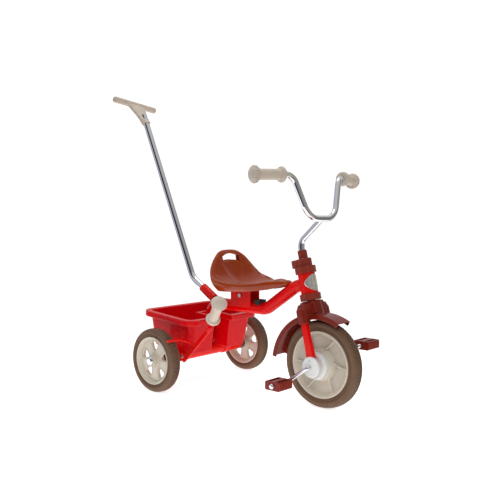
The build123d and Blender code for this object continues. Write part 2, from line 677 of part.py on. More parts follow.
with BuildPart() as brake_bracket:
    with BuildSketch(side.offset(bracket_inner)):
        with Locations((REAR_AXLE_X, REAR_RADIUS)):
            Circle(HOUSING_RADIUS + BRACKET_EDGE)
        with Locations((REAR_AXLE_X + BRAKE_PIVOT[0], BRAKE_PIVOT[1])):
            Circle(PIVOT_EYE_RADIUS)
        make_hull()
        with Locations((REAR_AXLE_X, REAR_RADIUS)):
            Circle(HOUSING_RADIUS + SEAT_PLAY, mode=Mode.SUBTRACT)
        with Locations((REAR_AXLE_X + BRAKE_PIVOT[0], BRAKE_PIVOT[1])):
            Circle(PIVOT_BOLT_RADIUS + SEAT_PLAY, mode=Mode.SUBTRACT)
    extrude(amount=BRAKE_SHEET)
    split(bisect_by=bucket_plane.offset(-RUNNING_GAP), keep=Keep.BOTTOM)
brake_bracket.part.label = "brake_bracket"
export_step(brake_bracket.part, "parts/brake_bracket.step")

with BuildPart() as brake_pivot_bolt:
    with BuildSketch(side.offset(bracket_inner - BOLT_TAIL)):
        with Locations((REAR_AXLE_X + BRAKE_PIVOT[0], BRAKE_PIVOT[1])):
            Circle(PIVOT_BOLT_RADIUS)
    extrude(amount=pivot_head - bracket_inner + BOLT_TAIL)
    with BuildSketch(side.offset(pivot_head)):
        with Locations((REAR_AXLE_X + BRAKE_PIVOT[0], BRAKE_PIVOT[1])):
            Circle(BOLT_HEAD_RADIUS)
    extrude(amount=BOLT_HEAD_DEPTH)
    fillet(brake_pivot_bolt.faces().sort_by(Axis.Y)[0].edges(), BOLT_HEAD_ROUNDING)
    with BuildSketch(side.offset(bracket_inner - SEAT_PLAY)):
        with Locations((REAR_AXLE_X + BRAKE_PIVOT[0], BRAKE_PIVOT[1])):
            RegularPolygon(BOLT_HEAD_RADIUS, 6)
    extrude(amount=-BRAKE_NUT_DEPTH)
brake_pivot_bolt.part.label = "brake_pivot_bolt"
export_step(brake_pivot_bolt.part, "parts/brake_pivot_bolt.step")

strap_foot = (REAR_AXLE_X + STRAP_FOOT[0], STRAP_FOOT[1])
strap_head = (REAR_AXLE_X + STRAP_HEAD[0], STRAP_HEAD[1])
grip_way = Vector(*BRAKE_GRIP_WAY).normalized()
grip_base = fore(*BRAKE_GRIP_BASE)
strap_run = Vector(STRAP_HEAD[0] - STRAP_FOOT[0], 0, STRAP_HEAD[1] - STRAP_FOOT[1])
strap_way = strap_run.normalized()
neck_start = fore(STRAP_HEAD[0], -BRAKE_PLANE, STRAP_HEAD[1]) - strap_way * NECK_LAP
neck_tip = grip_base + grip_way * (GRIP_LENGTH - GRIP_END_WALL - 2)
neck_points = [neck_start, neck_start + strap_way * NECK_STRAIGHT, grip_base - grip_way * NECK_ENTRY, neck_tip]
with BuildPart() as brake_lever:
    with BuildSketch(side.offset(lever_inner)):
        with Locations(((strap_foot[0] + strap_head[0]) / 2, (strap_foot[1] + strap_head[1]) / 2)):
            SlotCenterToCenter(strap_run.length, STRAP_WIDTH, rotation=degrees(atan2(strap_run.Z, strap_run.X)))
        with Locations((REAR_AXLE_X + BRAKE_PIVOT[0], BRAKE_PIVOT[1])):
            Circle(PIVOT_EYE_RADIUS)
            Circle(PIVOT_BOLT_RADIUS + SHAFT_PLAY, mode=Mode.SUBTRACT)
    extrude(amount=BRAKE_SHEET)
    add(tube(neck_points, NECK_RADII, BRAKE_NECK_RADIUS, 0))
brake_lever.part.label = "brake_lever"
export_step(brake_lever.part, "parts/brake_lever.step")

contact = radians(BRAKE_CONTACT_ANGLE)
contact_radius = REAR_RADIUS + BRAKE_ROD_RADIUS + BRAKE_CONTACT_GAP
contact_x = contact_radius * cos(contact)
contact_z = REAR_RADIUS + contact_radius * sin(contact)
tyre_inner = TRACK / 2 - REAR_TYRE_WIDTH / 2
tyre_outer = TRACK / 2 + REAR_TYRE_WIDTH / 2
strap_face = BRAKE_PLANE + BRAKE_SHEET / 2 + SEAT_PLAY + BRAKE_ROD_RADIUS
rod_points = [
    fore(ROD_FOOT[0][0], -strap_face - ROD_FOOT[0][1], ROD_FOOT[0][2]),
    fore(ROD_FOOT[1][0], -strap_face - ROD_FOOT[1][1], ROD_FOOT[1][2]),
    fore(contact_x, -tyre_inner + ROD_RADII[1], contact_z),
    fore(contact_x, -tyre_outer - 1, contact_z),
]
brake_rod = tube(rod_points, ROD_RADII, BRAKE_ROD_RADIUS, 0)
brake_rod.label = "brake_rod"
export_step(brake_rod, "parts/brake_rod.step")


# ---------------------------------------------------------------- grips
def grip(base, way, core, name):
    """A moulded grip: a flange, a handle and a domed end, pushed over a core."""
    across = Vector(0, 0, 1) - way * way.Z
    cap_start = GRIP_LENGTH - GRIP_CAP_LENGTH
    flange_edge = GRIP_FLANGE_RADIUS - GRIP_BEAD
    dome_edge = GRIP_CAP_RADIUS - DOME_INSET
    dome_height = GRIP_CAP_LENGTH - DOME_START
    dome_radius = (dome_edge**2 + dome_height**2) / (2 * dome_height)
    dome_angle = degrees(atan2(dome_edge, dome_radius - dome_height))
    bore = core + SEAT_PLAY
    with BuildPart() as piece:
        with BuildSketch(Plane(origin=base, x_dir=across.normalized(), z_dir=across.cross(way).normalized())):
            with BuildLine():
                Polyline((bore, 0), (flange_edge, 0))
                flange_crest = (GRIP_FLANGE_RADIUS, GRIP_FLANGE_LENGTH / 2)
                ThreePointArc((flange_edge, 0), flange_crest, (flange_edge, GRIP_FLANGE_LENGTH))
                Polyline((flange_edge, GRIP_FLANGE_LENGTH), (GRIP_RADIUS, GRIP_FLANGE_LENGTH + GRIP_FLARE),
                         (GRIP_RADIUS, cap_start - GRIP_FLARE), (GRIP_CAP_RADIUS - GRIP_BEAD, cap_start))
                ThreePointArc((GRIP_CAP_RADIUS - GRIP_BEAD, cap_start), (GRIP_CAP_RADIUS, cap_start + CAP_SHOULDER),
                              (dome_edge, cap_start + DOME_START))
                CenterArc((0, GRIP_LENGTH - dome_radius), dome_radius, 90 - dome_angle, dome_angle)
                bore_end = GRIP_LENGTH - GRIP_END_WALL
                Polyline((0, GRIP_LENGTH), (0, bore_end), (bore, bore_end), (bore, 0))
            make_face()
        revolve(axis=Axis(base, way))
    piece.part.label = name
    export_step(piece.part, f"parts/{name}.step")


grip(grip_base, grip_way, BRAKE_NECK_RADIUS, "brake_grip")

# ================================================================ steering assembly
# ---------------------------------------------------------------- fork
leg_inner = LEG_CENTRE - LEG_THICKNESS / 2
leg_outer = LEG_CENTRE + LEG_THICKNESS / 2
bush_radius = CRANK_RADIUS + SHAFT_PLAY + BUSH_WALL
steerer_top = HEAD_HIGH + CUP_FLANGE + RUNNING_GAP + LOCK_NUT_HEIGHT
leg_plane = Plane(origin=front_axle, x_dir=steer.x_dir, z_dir=(0, -1, 0))


def leg_outline(grow):
    """Side view of a fork leg: slim below the crown, wider and rounded at its foot."""
    top = LEG_TOP_WIDTH / 2 + grow
    foot = LEG_FOOT_WIDTH / 2 + grow
    with BuildSketch(leg_plane) as outline:
        with BuildLine():
            Polyline((-foot, 0), (-foot, LEG_FLARE_HEIGHT), (-top, SLEEVE_LOW), (-top, CROWN_LOW + CROWN_HEIGHT + grow),
                     (top, CROWN_LOW + CROWN_HEIGHT + grow), (top, SLEEVE_LOW), (foot, LEG_FLARE_HEIGHT), (foot, 0))
            ThreePointArc((foot, 0), (0, -foot), (-foot, 0))
        make_face()
    return outline.sketch


def fork_frame(grow):
    """Both fork legs and the crown that joins them, swollen by grow."""
    with BuildPart() as frame_piece:
        extrude(leg_outline(grow), amount=leg_outer + grow, both=True)
        with BuildSketch(steer):
            Rectangle(2 * LEG_FOOT_WIDTH, 2 * (leg_inner - grow))
        extrude(amount=CROWN_LOW - grow, both=True, mode=Mode.SUBTRACT)
        with BuildSketch(steer.offset(CROWN_LOW - grow)):
            Rectangle(CROWN_WIDTH + 2 * grow, 2 * (leg_outer + grow))
        extrude(amount=CROWN_HEIGHT + 2 * grow)
    return frame_piece.part


with BuildPart() as fork:
    add(fork_frame(0))
    leg_edges = fork.edges().filter_by(lambda edge: abs(abs(edge.center().Y) - leg_outer) < 0.01)
    fillet(leg_edges, LEG_ROUNDING)
    with BuildSketch(steer.offset(CROWN_LOW + CROWN_HEIGHT / 2)):
        Circle(STEERER_RADIUS)
    extrude(amount=steerer_top - CROWN_LOW - CROWN_HEIGHT / 2)
    with BuildSketch(steer.offset(CROWN_LOW + CROWN_HEIGHT)):
        Circle(STEERER_BORE)
    extrude(amount=steerer_top - CROWN_LOW, mode=Mode.SUBTRACT)
    with BuildSketch(leg_plane):
        Circle(bush_radius + SEAT_PLAY)
        with Locations((0, COVER_SCREW_HEIGHT)):
            Circle(COVER_SCREW_RADIUS / 2 + SEAT_PLAY)
    extrude(amount=leg_outer + 10, both=True, mode=Mode.SUBTRACT)
fork.part.label = "fork"
export_step(fork.part, "parts/fork.step")

# ---------------------------------------------------------------- front fender with its crown cover
def under_arc(drop, overrun):
    """Side view of the space below the fender's outer arc, lowered by drop and longer at both ends."""
    centre = (front_axle.X + FENDER_CENTRE[0], front_axle.Z + FENDER_CENTRE[1])
    size = FENDER_REAR_ANGLE - FENDER_FRONT_ANGLE + 2 * overrun
    with BuildSketch(side) as sector:
        with BuildLine():
            arc = CenterArc(centre, FENDER_RADIUS - drop, FENDER_FRONT_ANGLE - overrun, size)
            Polyline(arc @ 1, centre, arc @ 0)
        make_face()
    return sector.sketch


sleeve_half = LEG_TOP_WIDTH / 2 + SEAT_PLAY + COVER_WALL
sleeve_outer = leg_outer + SEAT_PLAY + COVER_WALL
with BuildPart() as front_fender:
    extrude(under_arc(0, 0), amount=FENDER_HALF, both=True)
    with BuildSketch(steer.offset(CROWN_LOW - 3)):
        Rectangle(2 * COVER_COLUMN_RADIUS, 2 * COVER_COLUMN_RADIUS)
    extrude(amount=COVER_TOP - CROWN_LOW + 3, taper=COLUMN_DRAFT)
    with BuildSketch(steer.offset(SLEEVE_LOW)):
        Rectangle(2 * sleeve_half + SLEEVE_RIB, 2 * sleeve_outer)
    extrude(amount=CROWN_LOW + CROWN_HEIGHT + COVER_WALL - SLEEVE_LOW, taper=SLEEVE_DRAFT)
    extrude(under_arc(FENDER_SKIN, 3), amount=FENDER_HALF - FENDER_SKIN, both=True, mode=Mode.SUBTRACT)
    extrude(under_arc(FENDER_FLANGE, 3), amount=leg_inner - COVER_WALL, both=True, mode=Mode.SUBTRACT)
    add(fork_frame(SEAT_PLAY), mode=Mode.SUBTRACT)
    with BuildSketch(steer.offset(CROWN_LOW)):
        Circle(STEERER_RADIUS + SEAT_PLAY)
    extrude(amount=COVER_TOP - CROWN_LOW + 1, mode=Mode.SUBTRACT)
front_fender.part.label = "front_fender"
export_step(front_fender.part, "parts/front_fender.step")

# ---------------------------------------------------------------- lock nut block and collar over the steerer
nut_base = HEAD_HIGH + CUP_FLANGE + RUNNING_GAP
with BuildPart() as steering_lock_nut:
    with BuildSketch(steer.offset(nut_base)):
        Circle(LOCK_NUT_RADIUS)
        with Locations((-LOCK_BLOCK_REACH / 2, 0)):
            Rectangle(LOCK_BLOCK_REACH, LOCK_BLOCK_WIDTH)
    extrude(amount=LOCK_NUT_HEIGHT)
    with BuildSketch(steer.offset(nut_base)):
        Circle(STEERER_RADIUS + SEAT_PLAY)
    extrude(amount=LOCK_NUT_HEIGHT, mode=Mode.SUBTRACT)
    chamfer(steering_lock_nut.faces().sort_by(Axis.Z)[-1].outer_wire().edges(), TOP_CHAMFER)
steering_lock_nut.part.label = "steering_lock_nut"
export_step(steering_lock_nut.part, "parts/steering_lock_nut.step")

with BuildPart() as stem_collar:
    with BuildSketch(steer.offset(steerer_top + SEAT_PLAY)):
        Circle(COLLAR_RADIUS)
    extrude(amount=COLLAR_HEIGHT)
    chamfer(stem_collar.edges().filter_by(GeomType.CIRCLE).sort_by(Axis.Z)[-1], TOP_CHAMFER)
    with BuildSketch(steer.offset(steerer_top)):
        Circle(STEM_RADIUS + SEAT_PLAY)
    extrude(amount=COLLAR_HEIGHT + 1, mode=Mode.SUBTRACT)
stem_collar.part.label = "stem_collar"
export_step(stem_collar.part, "parts/stem_collar.step")

# ---------------------------------------------------------------- handlebar, stem and grips
bar_centre = fore(BAR_MIDDLE[0], 0, BAR_MIDDLE[1])
bar_points = []
for hand in (-1, 1):
    half = [
        fore(BAR_END[0], hand * BAR_END[1], BAR_END[2]),
        fore(BAR_ELBOW[0], hand * BAR_ELBOW[1], BAR_ELBOW[2]),
        fore(BAR_MIDDLE[0], hand * BAR_HALF, BAR_MIDDLE[1]),
    ]
    bar_points += half if hand < 0 else half[::-1]
bar_radii = [BAR_HIGH_RADIUS, BAR_LOW_RADIUS, BAR_LOW_RADIUS, BAR_HIGH_RADIUS]
handlebar = tube(bar_points, bar_radii, BAR_RADIUS, BAR_WALL)
handlebar.label = "handlebar"
export_step(handlebar, "parts/handlebar.step")

with BuildPart() as handlebar_stem:
    stem_points = [steer_point(STEM_TIP), steer_point(STEM_BEND), bar_centre]
    add(tube(stem_points, STEM_BEND_RADIUS, STEM_RADIUS, BAR_WALL))
    with BuildSketch(side.offset(-BAR_HALF)):
        with Locations((bar_centre.X, bar_centre.Z)):
            Circle(BAR_RADIUS + SEAT_PLAY)
    extrude(amount=2 * BAR_HALF, mode=Mode.SUBTRACT)
    stem_solid = handlebar_stem.part.solids().sort_by(SortBy.VOLUME)[-1]
stem_solid.label = "handlebar_stem"
export_step(stem_solid, "parts/handlebar_stem.step")

for name, hand in (("right", -1), ("left", 1)):
    bar_tip = fore(BAR_END[0], hand * BAR_END[1], BAR_END[2])
    elbow = fore(BAR_ELBOW[0], hand * BAR_ELBOW[1], BAR_ELBOW[2])
    way = (bar_tip - elbow).normalized()
    grip(bar_tip - way * (GRIP_LENGTH - GRIP_END_WALL - 2), way, BAR_RADIUS, f"grip_{name}")

# ---------------------------------------------------------------- hub covers that carry the crank axle
for name, hand in (("right", -1), ("left", 1)):
    cover_seat = front_axle + Vector(0, hand * (leg_outer + SEAT_PLAY), 0)
    outward = Plane(origin=cover_seat, x_dir=steer.x_dir, z_dir=(0, hand, 0))
    up = -hand
    with BuildPart() as hub_cover:
        with BuildSketch(outward):
            Circle(COVER_DISC_RADIUS)
        extrude(amount=COVER_DISC_DEPTH)
        outer_face = hub_cover.faces().sort_by(Axis.Y)[0 if hand < 0 else -1]
        fillet(outer_face.outer_wire().edges(), COVER_DISC_DEPTH / 2)
        with BuildSketch(outward):
            Circle(bush_radius)
        extrude(amount=-LEG_THICKNESS)
        with BuildSketch(outward):
            Circle(CRANK_RADIUS + SHAFT_PLAY)
            with Locations((0, up * COVER_SCREW_HEIGHT)):
                Circle(COVER_SCREW_RADIUS / 2 + SEAT_PLAY)
        extrude(amount=2 * COVER_DISC_RADIUS, both=True, mode=Mode.SUBTRACT)
    hub_cover.part.label = f"hub_cover_{name}"
    export_step(hub_cover.part, f"parts/hub_cover_{name}.step")

with BuildPart() as hub_cover_screws:
    for hand in (-1, 1):
        head_face = front_axle + steer.z_dir * COVER_SCREW_HEIGHT + Vector(0, hand * (leg_outer + SEAT_PLAY), 0)
        with BuildSketch(axis_plane(head_face + Vector(0, hand * (COVER_DISC_DEPTH + SEAT_PLAY), 0), (0, hand, 0))):
            Circle(COVER_SCREW_RADIUS)
        extrude(amount=COVER_SCREW_HEAD)
        with BuildSketch(axis_plane(head_face, (0, hand, 0))):
            Circle(COVER_SCREW_RADIUS / 2)
        extrude(amount=COVER_DISC_DEPTH + SEAT_PLAY)
        with BuildSketch(axis_plane(head_face, (0, -hand, 0))):
            Circle(COVER_SCREW_RADIUS / 2)
        extrude(amount=LEG_THICKNESS)
hub_cover_screws.part.label = "hub_cover_screws"
export_step(hub_cover_screws.part, "parts/hub_cover_screws.step")

# ================================================================ wheels
def tyre(centre, seat_radius, outer, width):
    """A solid tyre with rounded shoulders."""
    with BuildPart() as piece:
        with BuildSketch(Plane(origin=centre, x_dir=(0, 0, -1), z_dir=(1, 0, 0))) as section:
            with Locations(((seat_radius + outer) / 2, 0)):
                Rectangle(outer - seat_radius, width)
            fillet(section.vertices().sort_by_distance(centre + Vector(0, 0, -2 * outer))[:2], TYRE_SHOULDER)
        revolve(axis=Axis(centre, (0, 1, 0)))
    return piece.part


def turned(centre, outline):
    """A wheel part turned about the line through centre along Y, from (radius, offset) pairs."""
    with BuildPart() as piece:
        with BuildSketch(Plane(origin=centre, x_dir=(0, 0, -1), z_dir=(1, 0, 0))):
            with BuildLine():
                Polyline(*outline, close=True)
            make_face()
        revolve(axis=Axis(centre, (0, 1, 0)))
    return piece.part


def wheel_blank(centre, rim, width, web, hub, hub_half, bore):
    """Rim ring, web and hub of a moulded wheel."""
    inner = rim - RIM_DEPTH
    half = width / 2
    hub_foot = hub + WHEEL_DRAFT
    rim_foot = inner - WHEEL_DRAFT
    return turned(centre, [
        (bore, -hub_half), (hub, -hub_half), (hub_foot, -web / 2), (rim_foot, -web / 2), (inner, -half), (rim, -half),
        (rim, half), (inner, half), (rim_foot, web / 2), (hub_foot, web / 2), (hub, hub_half), (bore, hub_half),
    ])


for name, hand in (("right", -1), ("left", 1)):
    centre = rear_axle_centre + Vector(0, hand * TRACK / 2, 0)
    face_plane = Plane(origin=centre, x_dir=(1, 0, 0), z_dir=(0, -1, 0))
    with BuildPart() as rear_wheel:
        add(wheel_blank(centre, REAR_RIM_RADIUS, REAR_TYRE_WIDTH, REAR_WEB_THICKNESS, REAR_HUB_RADIUS,
                        REAR_HUB_WIDTH / 2, AXLE_RADIUS + SHAFT_PLAY))
        with BuildSketch(face_plane):
            with PolarLocations(0, REAR_WINDOWS, start_angle=90):
                Polygon(*WINDOW_CORNERS, align=None)
        extrude(amount=REAR_TYRE_WIDTH, both=True, mode=Mode.SUBTRACT)
    rear_wheel.part.label = f"rear_wheel_{name}"
    export_step(rear_wheel.part, f"parts/rear_wheel_{name}.step")
    rear_tyre = tyre(centre, REAR_RIM_RADIUS + SEAT_PLAY, REAR_RADIUS, REAR_TYRE_WIDTH)
    rear_tyre.label = f"rear_tyre_{name}"
    export_step(rear_tyre, f"parts/rear_tyre_{name}.step")

with BuildSketch() as rib_outline:
    with BuildLine():
        ThreePointArc(*RIB_CURVE)
        offset(amount=RIB_THICKNESS / 2)
    make_face()
with BuildPart() as front_wheel:
    add(wheel_blank(front_axle, FRONT_RIM_RADIUS, FRONT_TYRE_WIDTH + 2, FRONT_WEB_THICKNESS, FRONT_HUB_RADIUS,
                    FRONT_HUB_WIDTH / 2, CRANK_RADIUS + SEAT_PLAY))
    with BuildSketch(Plane(origin=front_axle, x_dir=(1, 0, 0), z_dir=(0, -1, 0))):
        with PolarLocations(0, FRONT_RIBS):
            add(rib_outline.sketch)
    extrude(amount=FRONT_TYRE_WIDTH / 2 - 3, both=True)
front_wheel.part.label = "front_wheel"
export_step(front_wheel.part, "parts/front_wheel.step")
front_tyre = tyre(front_axle, FRONT_RIM_RADIUS + SEAT_PLAY, FRONT_RADIUS, FRONT_TYRE_WIDTH)
front_tyre.label = "front_tyre"
export_step(front_tyre, "parts/front_tyre.step")

# ---------------------------------------------------------------- crank axle, bent from one bar
crank = radians(CRANK_ANGLE)
crank_throw = Vector(cos(crank), 0, sin(crank)) * CRANK_LENGTH
crank_points = [
    front_axle + crank_throw + Vector(0, -SPINDLE_END, 0),
    front_axle + crank_throw + Vector(0, -CRANK_PLANE, 0),
    front_axle + Vector(0, -CRANK_PLANE, 0),
    front_axle + Vector(0, CRANK_PLANE, 0),
    front_axle - crank_throw + Vector(0, CRANK_PLANE, 0),
    front_axle - crank_throw + Vector(0, SPINDLE_END, 0),
]
crank_axle = tube(crank_points, CRANK_BEND, CRANK_RADIUS, 0)
crank_axle.label = "crank_axle"
export_step(crank_axle, "parts/crank_axle.step")

# ---------------------------------------------------------------- pedals and their caps
for name, hand in (("right", -1), ("left", 1)):
    spindle = front_axle - crank_throw * hand
    inner_end = Plane(origin=spindle + Vector(0, hand * PEDAL_INNER, 0), x_dir=(1, 0, 0), z_dir=(0, hand, 0))
    with BuildPart() as pedal:
        with BuildSketch(inner_end):
            RectangleRounded(PEDAL_WIDTH, PEDAL_HEIGHT, PEDAL_ROUNDING)
        extrude(amount=PEDAL_LENGTH)
        pedal_middle = spindle + Vector(0, hand * (PEDAL_INNER + PEDAL_LENGTH / 2), 0)
        with BuildSketch(Plane(origin=pedal_middle, z_dir=(0, 0, 1))):
            with GridLocations(PEDAL_WIDTH - 2 * PEDAL_WALL - PEDAL_WINDOW, 0, 2, 1):
                Rectangle(PEDAL_WINDOW, PEDAL_LENGTH - 2 * PEDAL_WALL)
        extrude(amount=PEDAL_HEIGHT, both=True, mode=Mode.SUBTRACT)
        with BuildSketch(inner_end):
            Circle(CRANK_RADIUS + SHAFT_PLAY)
        extrude(amount=PEDAL_LENGTH, mode=Mode.SUBTRACT)
    pedal.part.label = f"pedal_{name}"
    export_step(pedal.part, f"parts/pedal_{name}.step")

with BuildPart() as pedal_caps:
    for hand in (-1, 1):
        spindle = front_axle - crank_throw * hand
        pedal_end = spindle + Vector(0, hand * (PEDAL_INNER + PEDAL_LENGTH + RUNNING_GAP), 0)
        cap_plane = axis_plane(pedal_end, (0, hand, 0))
        with BuildSketch(cap_plane):
            Circle(SPINDLE_CAP_RADIUS)
        extrude(amount=SPINDLE_CAP_DEPTH)
        cap_edge = pedal_caps.edges().filter_by(GeomType.CIRCLE).sort_by(Axis.Y)[0 if hand < 0 else -1]
        fillet(cap_edge, SPINDLE_CAP_ROUNDING)
        with BuildSketch(cap_plane):
            Circle(CRANK_RADIUS + SEAT_PLAY)
        extrude(amount=SPINDLE_END - PEDAL_INNER - PEDAL_LENGTH - RUNNING_GAP + SEAT_PLAY, mode=Mode.SUBTRACT)
pedal_caps.part.label = "pedal_caps"
export_step(pedal_caps.part, "parts/pedal_caps.step")

# ================================================================ push handle
socket_mouth = fore(SOCKET_MOUTH[0], 0, SOCKET_MOUTH[1])
push_foot = socket_mouth - socket_way * PUSH_INSERTION
push_split = fore(PUSH_SPLIT[0], 0, PUSH_SPLIT[1])
push_knee = fore(PUSH_KNEE[0], 0, PUSH_KNEE[1])
push_way = (push_split - push_knee).normalized()
push_top = push_split + push_way * PUSH_UPPER_LENGTH
spigot_radius = PUSH_RADIUS - PUSH_WALL - SEAT_PLAY
rearward = push_way.cross(Vector(0, 1, 0)) * -1
button_centre = push_split - push_way * (SPIGOT_LENGTH / 2)
with BuildPart() as push_tube_lower:
    add(tube([push_foot, push_knee, push_split], PUSH_KNEE_RADIUS, PUSH_RADIUS, PUSH_WALL))
    with BuildSketch(axis_plane(button_centre, rearward)):
        Circle(BUTTON_RADIUS + SHAFT_PLAY)
    extrude(amount=2 * PUSH_RADIUS, mode=Mode.SUBTRACT)
push_tube_lower.part.label = "push_tube_lower"
export_step(push_tube_lower.part, "parts/push_tube_lower.step")

with BuildPart() as push_tube_upper:
    with BuildSketch(axis_plane(push_split + push_way * SEAT_PLAY, push_way)):
        Circle(PUSH_RADIUS)
    extrude(amount=PUSH_UPPER_LENGTH - SEAT_PLAY)
    with BuildSketch(axis_plane(push_split + push_way * SEAT_PLAY, push_way)):
        Circle(spigot_radius)
    extrude(amount=-SPIGOT_LENGTH)
    with BuildSketch(axis_plane(push_split - push_way * SPIGOT_LENGTH, push_way)):
        Circle(spigot_radius - PUSH_WALL)
    extrude(amount=SPIGOT_LENGTH + PUSH_UPPER_LENGTH + 1, mode=Mode.SUBTRACT)
    with BuildSketch(axis_plane(button_centre, rearward)):
        Circle(BUTTON_RADIUS + SHAFT_PLAY)
    extrude(amount=2 * PUSH_RADIUS, mode=Mode.SUBTRACT)
push_tube_upper.part.label = "push_tube_upper"
export_step(push_tube_upper.part, "parts/push_tube_upper.step")

with BuildPart() as snap_button:
    with BuildSketch(axis_plane(button_centre + rearward * (spigot_radius - PUSH_WALL - 3), rearward)):
        Circle(BUTTON_RADIUS)
    extrude(amount=PUSH_RADIUS - spigot_radius + PUSH_WALL + 3 + BUTTON_TRAVEL)
    button_edges = snap_button.edges().filter_by(GeomType.CIRCLE)
    fillet(button_edges.sort_by(Axis(button_centre, rearward))[-1], BUTTON_ROUNDING)
snap_button.part.label = "snap_button"
export_step(snap_button.part, "parts/snap_button.step")

tee_centre = fore(TEE_CENTRE[0], 0, TEE_CENTRE[1])
tee_way = Vector(0, 1, 0).rotate(Axis((0, 0, 0), push_way), TEE_TWIST)
neck_foot = push_top - push_way * TEE_SOCKET
with BuildPart() as push_grip:
    with BuildSketch(axis_plane(tee_centre - tee_way * TEE_HALF, tee_way)):
        Circle(TEE_RADIUS)
    extrude(amount=2 * TEE_HALF)
    fillet(push_grip.edges().filter_by(GeomType.CIRCLE), TEE_ROUNDING)
    with BuildSketch(axis_plane(neck_foot, push_way)):
        Circle(PUSH_RADIUS + TEE_NECK_WALL)
    with BuildSketch(Plane(origin=tee_centre, x_dir=tee_way, z_dir=push_way)):
        RectangleRounded(*TEE_BLOCK)
    loft()
    with BuildSketch(axis_plane(neck_foot, push_way)):
        Circle(PUSH_RADIUS + SEAT_PLAY)
    extrude(amount=TEE_SOCKET + SEAT_PLAY, mode=Mode.SUBTRACT)
push_grip.part.label = "push_grip"
export_step(push_grip.part, "parts/push_grip.step")
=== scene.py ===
"""Studio scene of a children's tricycle: detailed mouldings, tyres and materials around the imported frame.

Metres, +X forward, +Y to the rider's left, +Z up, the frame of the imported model.
"""

import bmesh
import bpy
import json
from math import atan2, copysign, cos, pi, radians, sin, tan
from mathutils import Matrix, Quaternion, Vector
from mathutils.bvhtree import BVHTree

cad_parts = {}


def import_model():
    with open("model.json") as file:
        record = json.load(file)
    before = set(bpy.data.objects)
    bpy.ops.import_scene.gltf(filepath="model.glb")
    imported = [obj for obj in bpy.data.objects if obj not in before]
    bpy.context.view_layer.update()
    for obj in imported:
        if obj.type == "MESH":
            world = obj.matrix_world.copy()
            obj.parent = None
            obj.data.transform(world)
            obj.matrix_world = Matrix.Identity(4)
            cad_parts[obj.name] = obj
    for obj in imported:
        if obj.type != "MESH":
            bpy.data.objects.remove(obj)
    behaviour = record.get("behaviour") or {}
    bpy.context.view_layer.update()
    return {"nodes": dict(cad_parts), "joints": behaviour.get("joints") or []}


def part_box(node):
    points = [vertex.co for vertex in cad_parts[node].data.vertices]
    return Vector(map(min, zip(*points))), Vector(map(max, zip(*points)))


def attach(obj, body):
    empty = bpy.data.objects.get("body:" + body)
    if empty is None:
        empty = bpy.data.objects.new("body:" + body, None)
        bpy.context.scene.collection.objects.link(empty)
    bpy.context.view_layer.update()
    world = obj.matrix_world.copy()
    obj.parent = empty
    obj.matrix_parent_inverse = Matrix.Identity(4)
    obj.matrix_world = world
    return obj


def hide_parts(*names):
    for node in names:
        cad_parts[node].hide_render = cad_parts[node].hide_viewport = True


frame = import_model()
MM = 0.001


# ---------------------------------------------------------------- places taken from the frame
def middle(node):
    """Centre of a CAD node's box."""
    low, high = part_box(node)
    return (low + high) / 2


def half_size(node):
    """Half the length, width and height of a CAD node's box, in millimetres."""
    low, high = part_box(node)
    return [(high[axis] - low[axis]) / 2 / MM for axis in range(3)]


def joint_place(name):
    """Position of a joint and the direction of its axis."""
    joint = next(j for j in frame["joints"] if j["name"] == name)
    return Vector(joint.get("pos_m", (0, 0, 0))), Vector(joint["axis"]).normalized()


REAR = middle("rear_axle")
FRONT, STEER = joint_place("steering_turn")


def ahead(x, y, z):
    """A point in millimetres, x measured ahead of the rear axle."""
    return Vector((REAR.x + x * MM, y * MM, z * MM))


# ---------------------------------------------------------------- mesh helpers
def finish_mesh(obj, body, material, replaced=(), crease=35):
    """Smooth shading with sharp edges, material, body and material slot for a new piece."""
    mesh = obj.data
    for polygon in mesh.polygons:
        polygon.use_smooth = True
    mesh.set_sharp_from_angle(angle=radians(crease))
    mesh.materials.clear()
    mesh.materials.append(material)
    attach(obj, body)
    if replaced:
        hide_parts(*replaced)


def mesh_piece(name, points, faces):
    """A mesh object made from points and faces, with doubled points merged and normals outward."""
    mesh = bpy.data.meshes.new(name)
    mesh.from_pydata([tuple(p) for p in points], [], faces)
    shape = bmesh.new()
    shape.from_mesh(mesh)
    bmesh.ops.remove_doubles(shape, verts=shape.verts, dist=1e-6)
    bmesh.ops.dissolve_degenerate(shape, dist=1e-7, edges=shape.edges)
    bmesh.ops.recalc_face_normals(shape, faces=shape.faces)
    shape.to_mesh(mesh)
    shape.free()
    obj = bpy.data.objects.new(name, mesh)
    bpy.context.collection.objects.link(obj)
    return obj


def skin(name, rings, wrap=False, caps=False):
    """A surface through closed rings of equal length; wrap joins the last to the first, caps close the ends."""
    count = len(rings[0])
    points = [p for ring in rings for p in ring]
    faces = []
    pairs = len(rings) if wrap else len(rings) - 1
    for i in range(pairs):
        here = i * count
        there = (i + 1) % len(rings) * count
        for k in range(count):
            nxt = (k + 1) % count
            faces.append((here + k, here + nxt, there + nxt, there + k))
    if caps:
        faces.append(tuple(range(count - 1, -1, -1)))
        faces.append(tuple(range(len(points) - count, len(points))))
    return mesh_piece(name, points, faces)


def side_axes(way):
    """Two unit vectors square to a direction."""
    helper = Vector((0, 0, 1)) if abs(way.z) < 0.9 else Vector((1, 0, 0))
    first = helper.cross(way).normalized()
    return first, way.cross(first).normalized()


def lathe(name, profile, base, way, steps=96, wrap=False):
    """Turns (radius, height) pairs in millimetres about the line through base along way."""
    first, second = side_axes(way)
    rings = []
    for radius, height in profile:
        centre = base + way * height * MM
        ring = []
        for k in range(steps):
            turn = 2 * pi * k / steps
            ring.append(centre + (first * cos(turn) + second * sin(turn)) * radius * MM)
        rings.append(ring)
    return skin(name, rings, wrap=wrap)


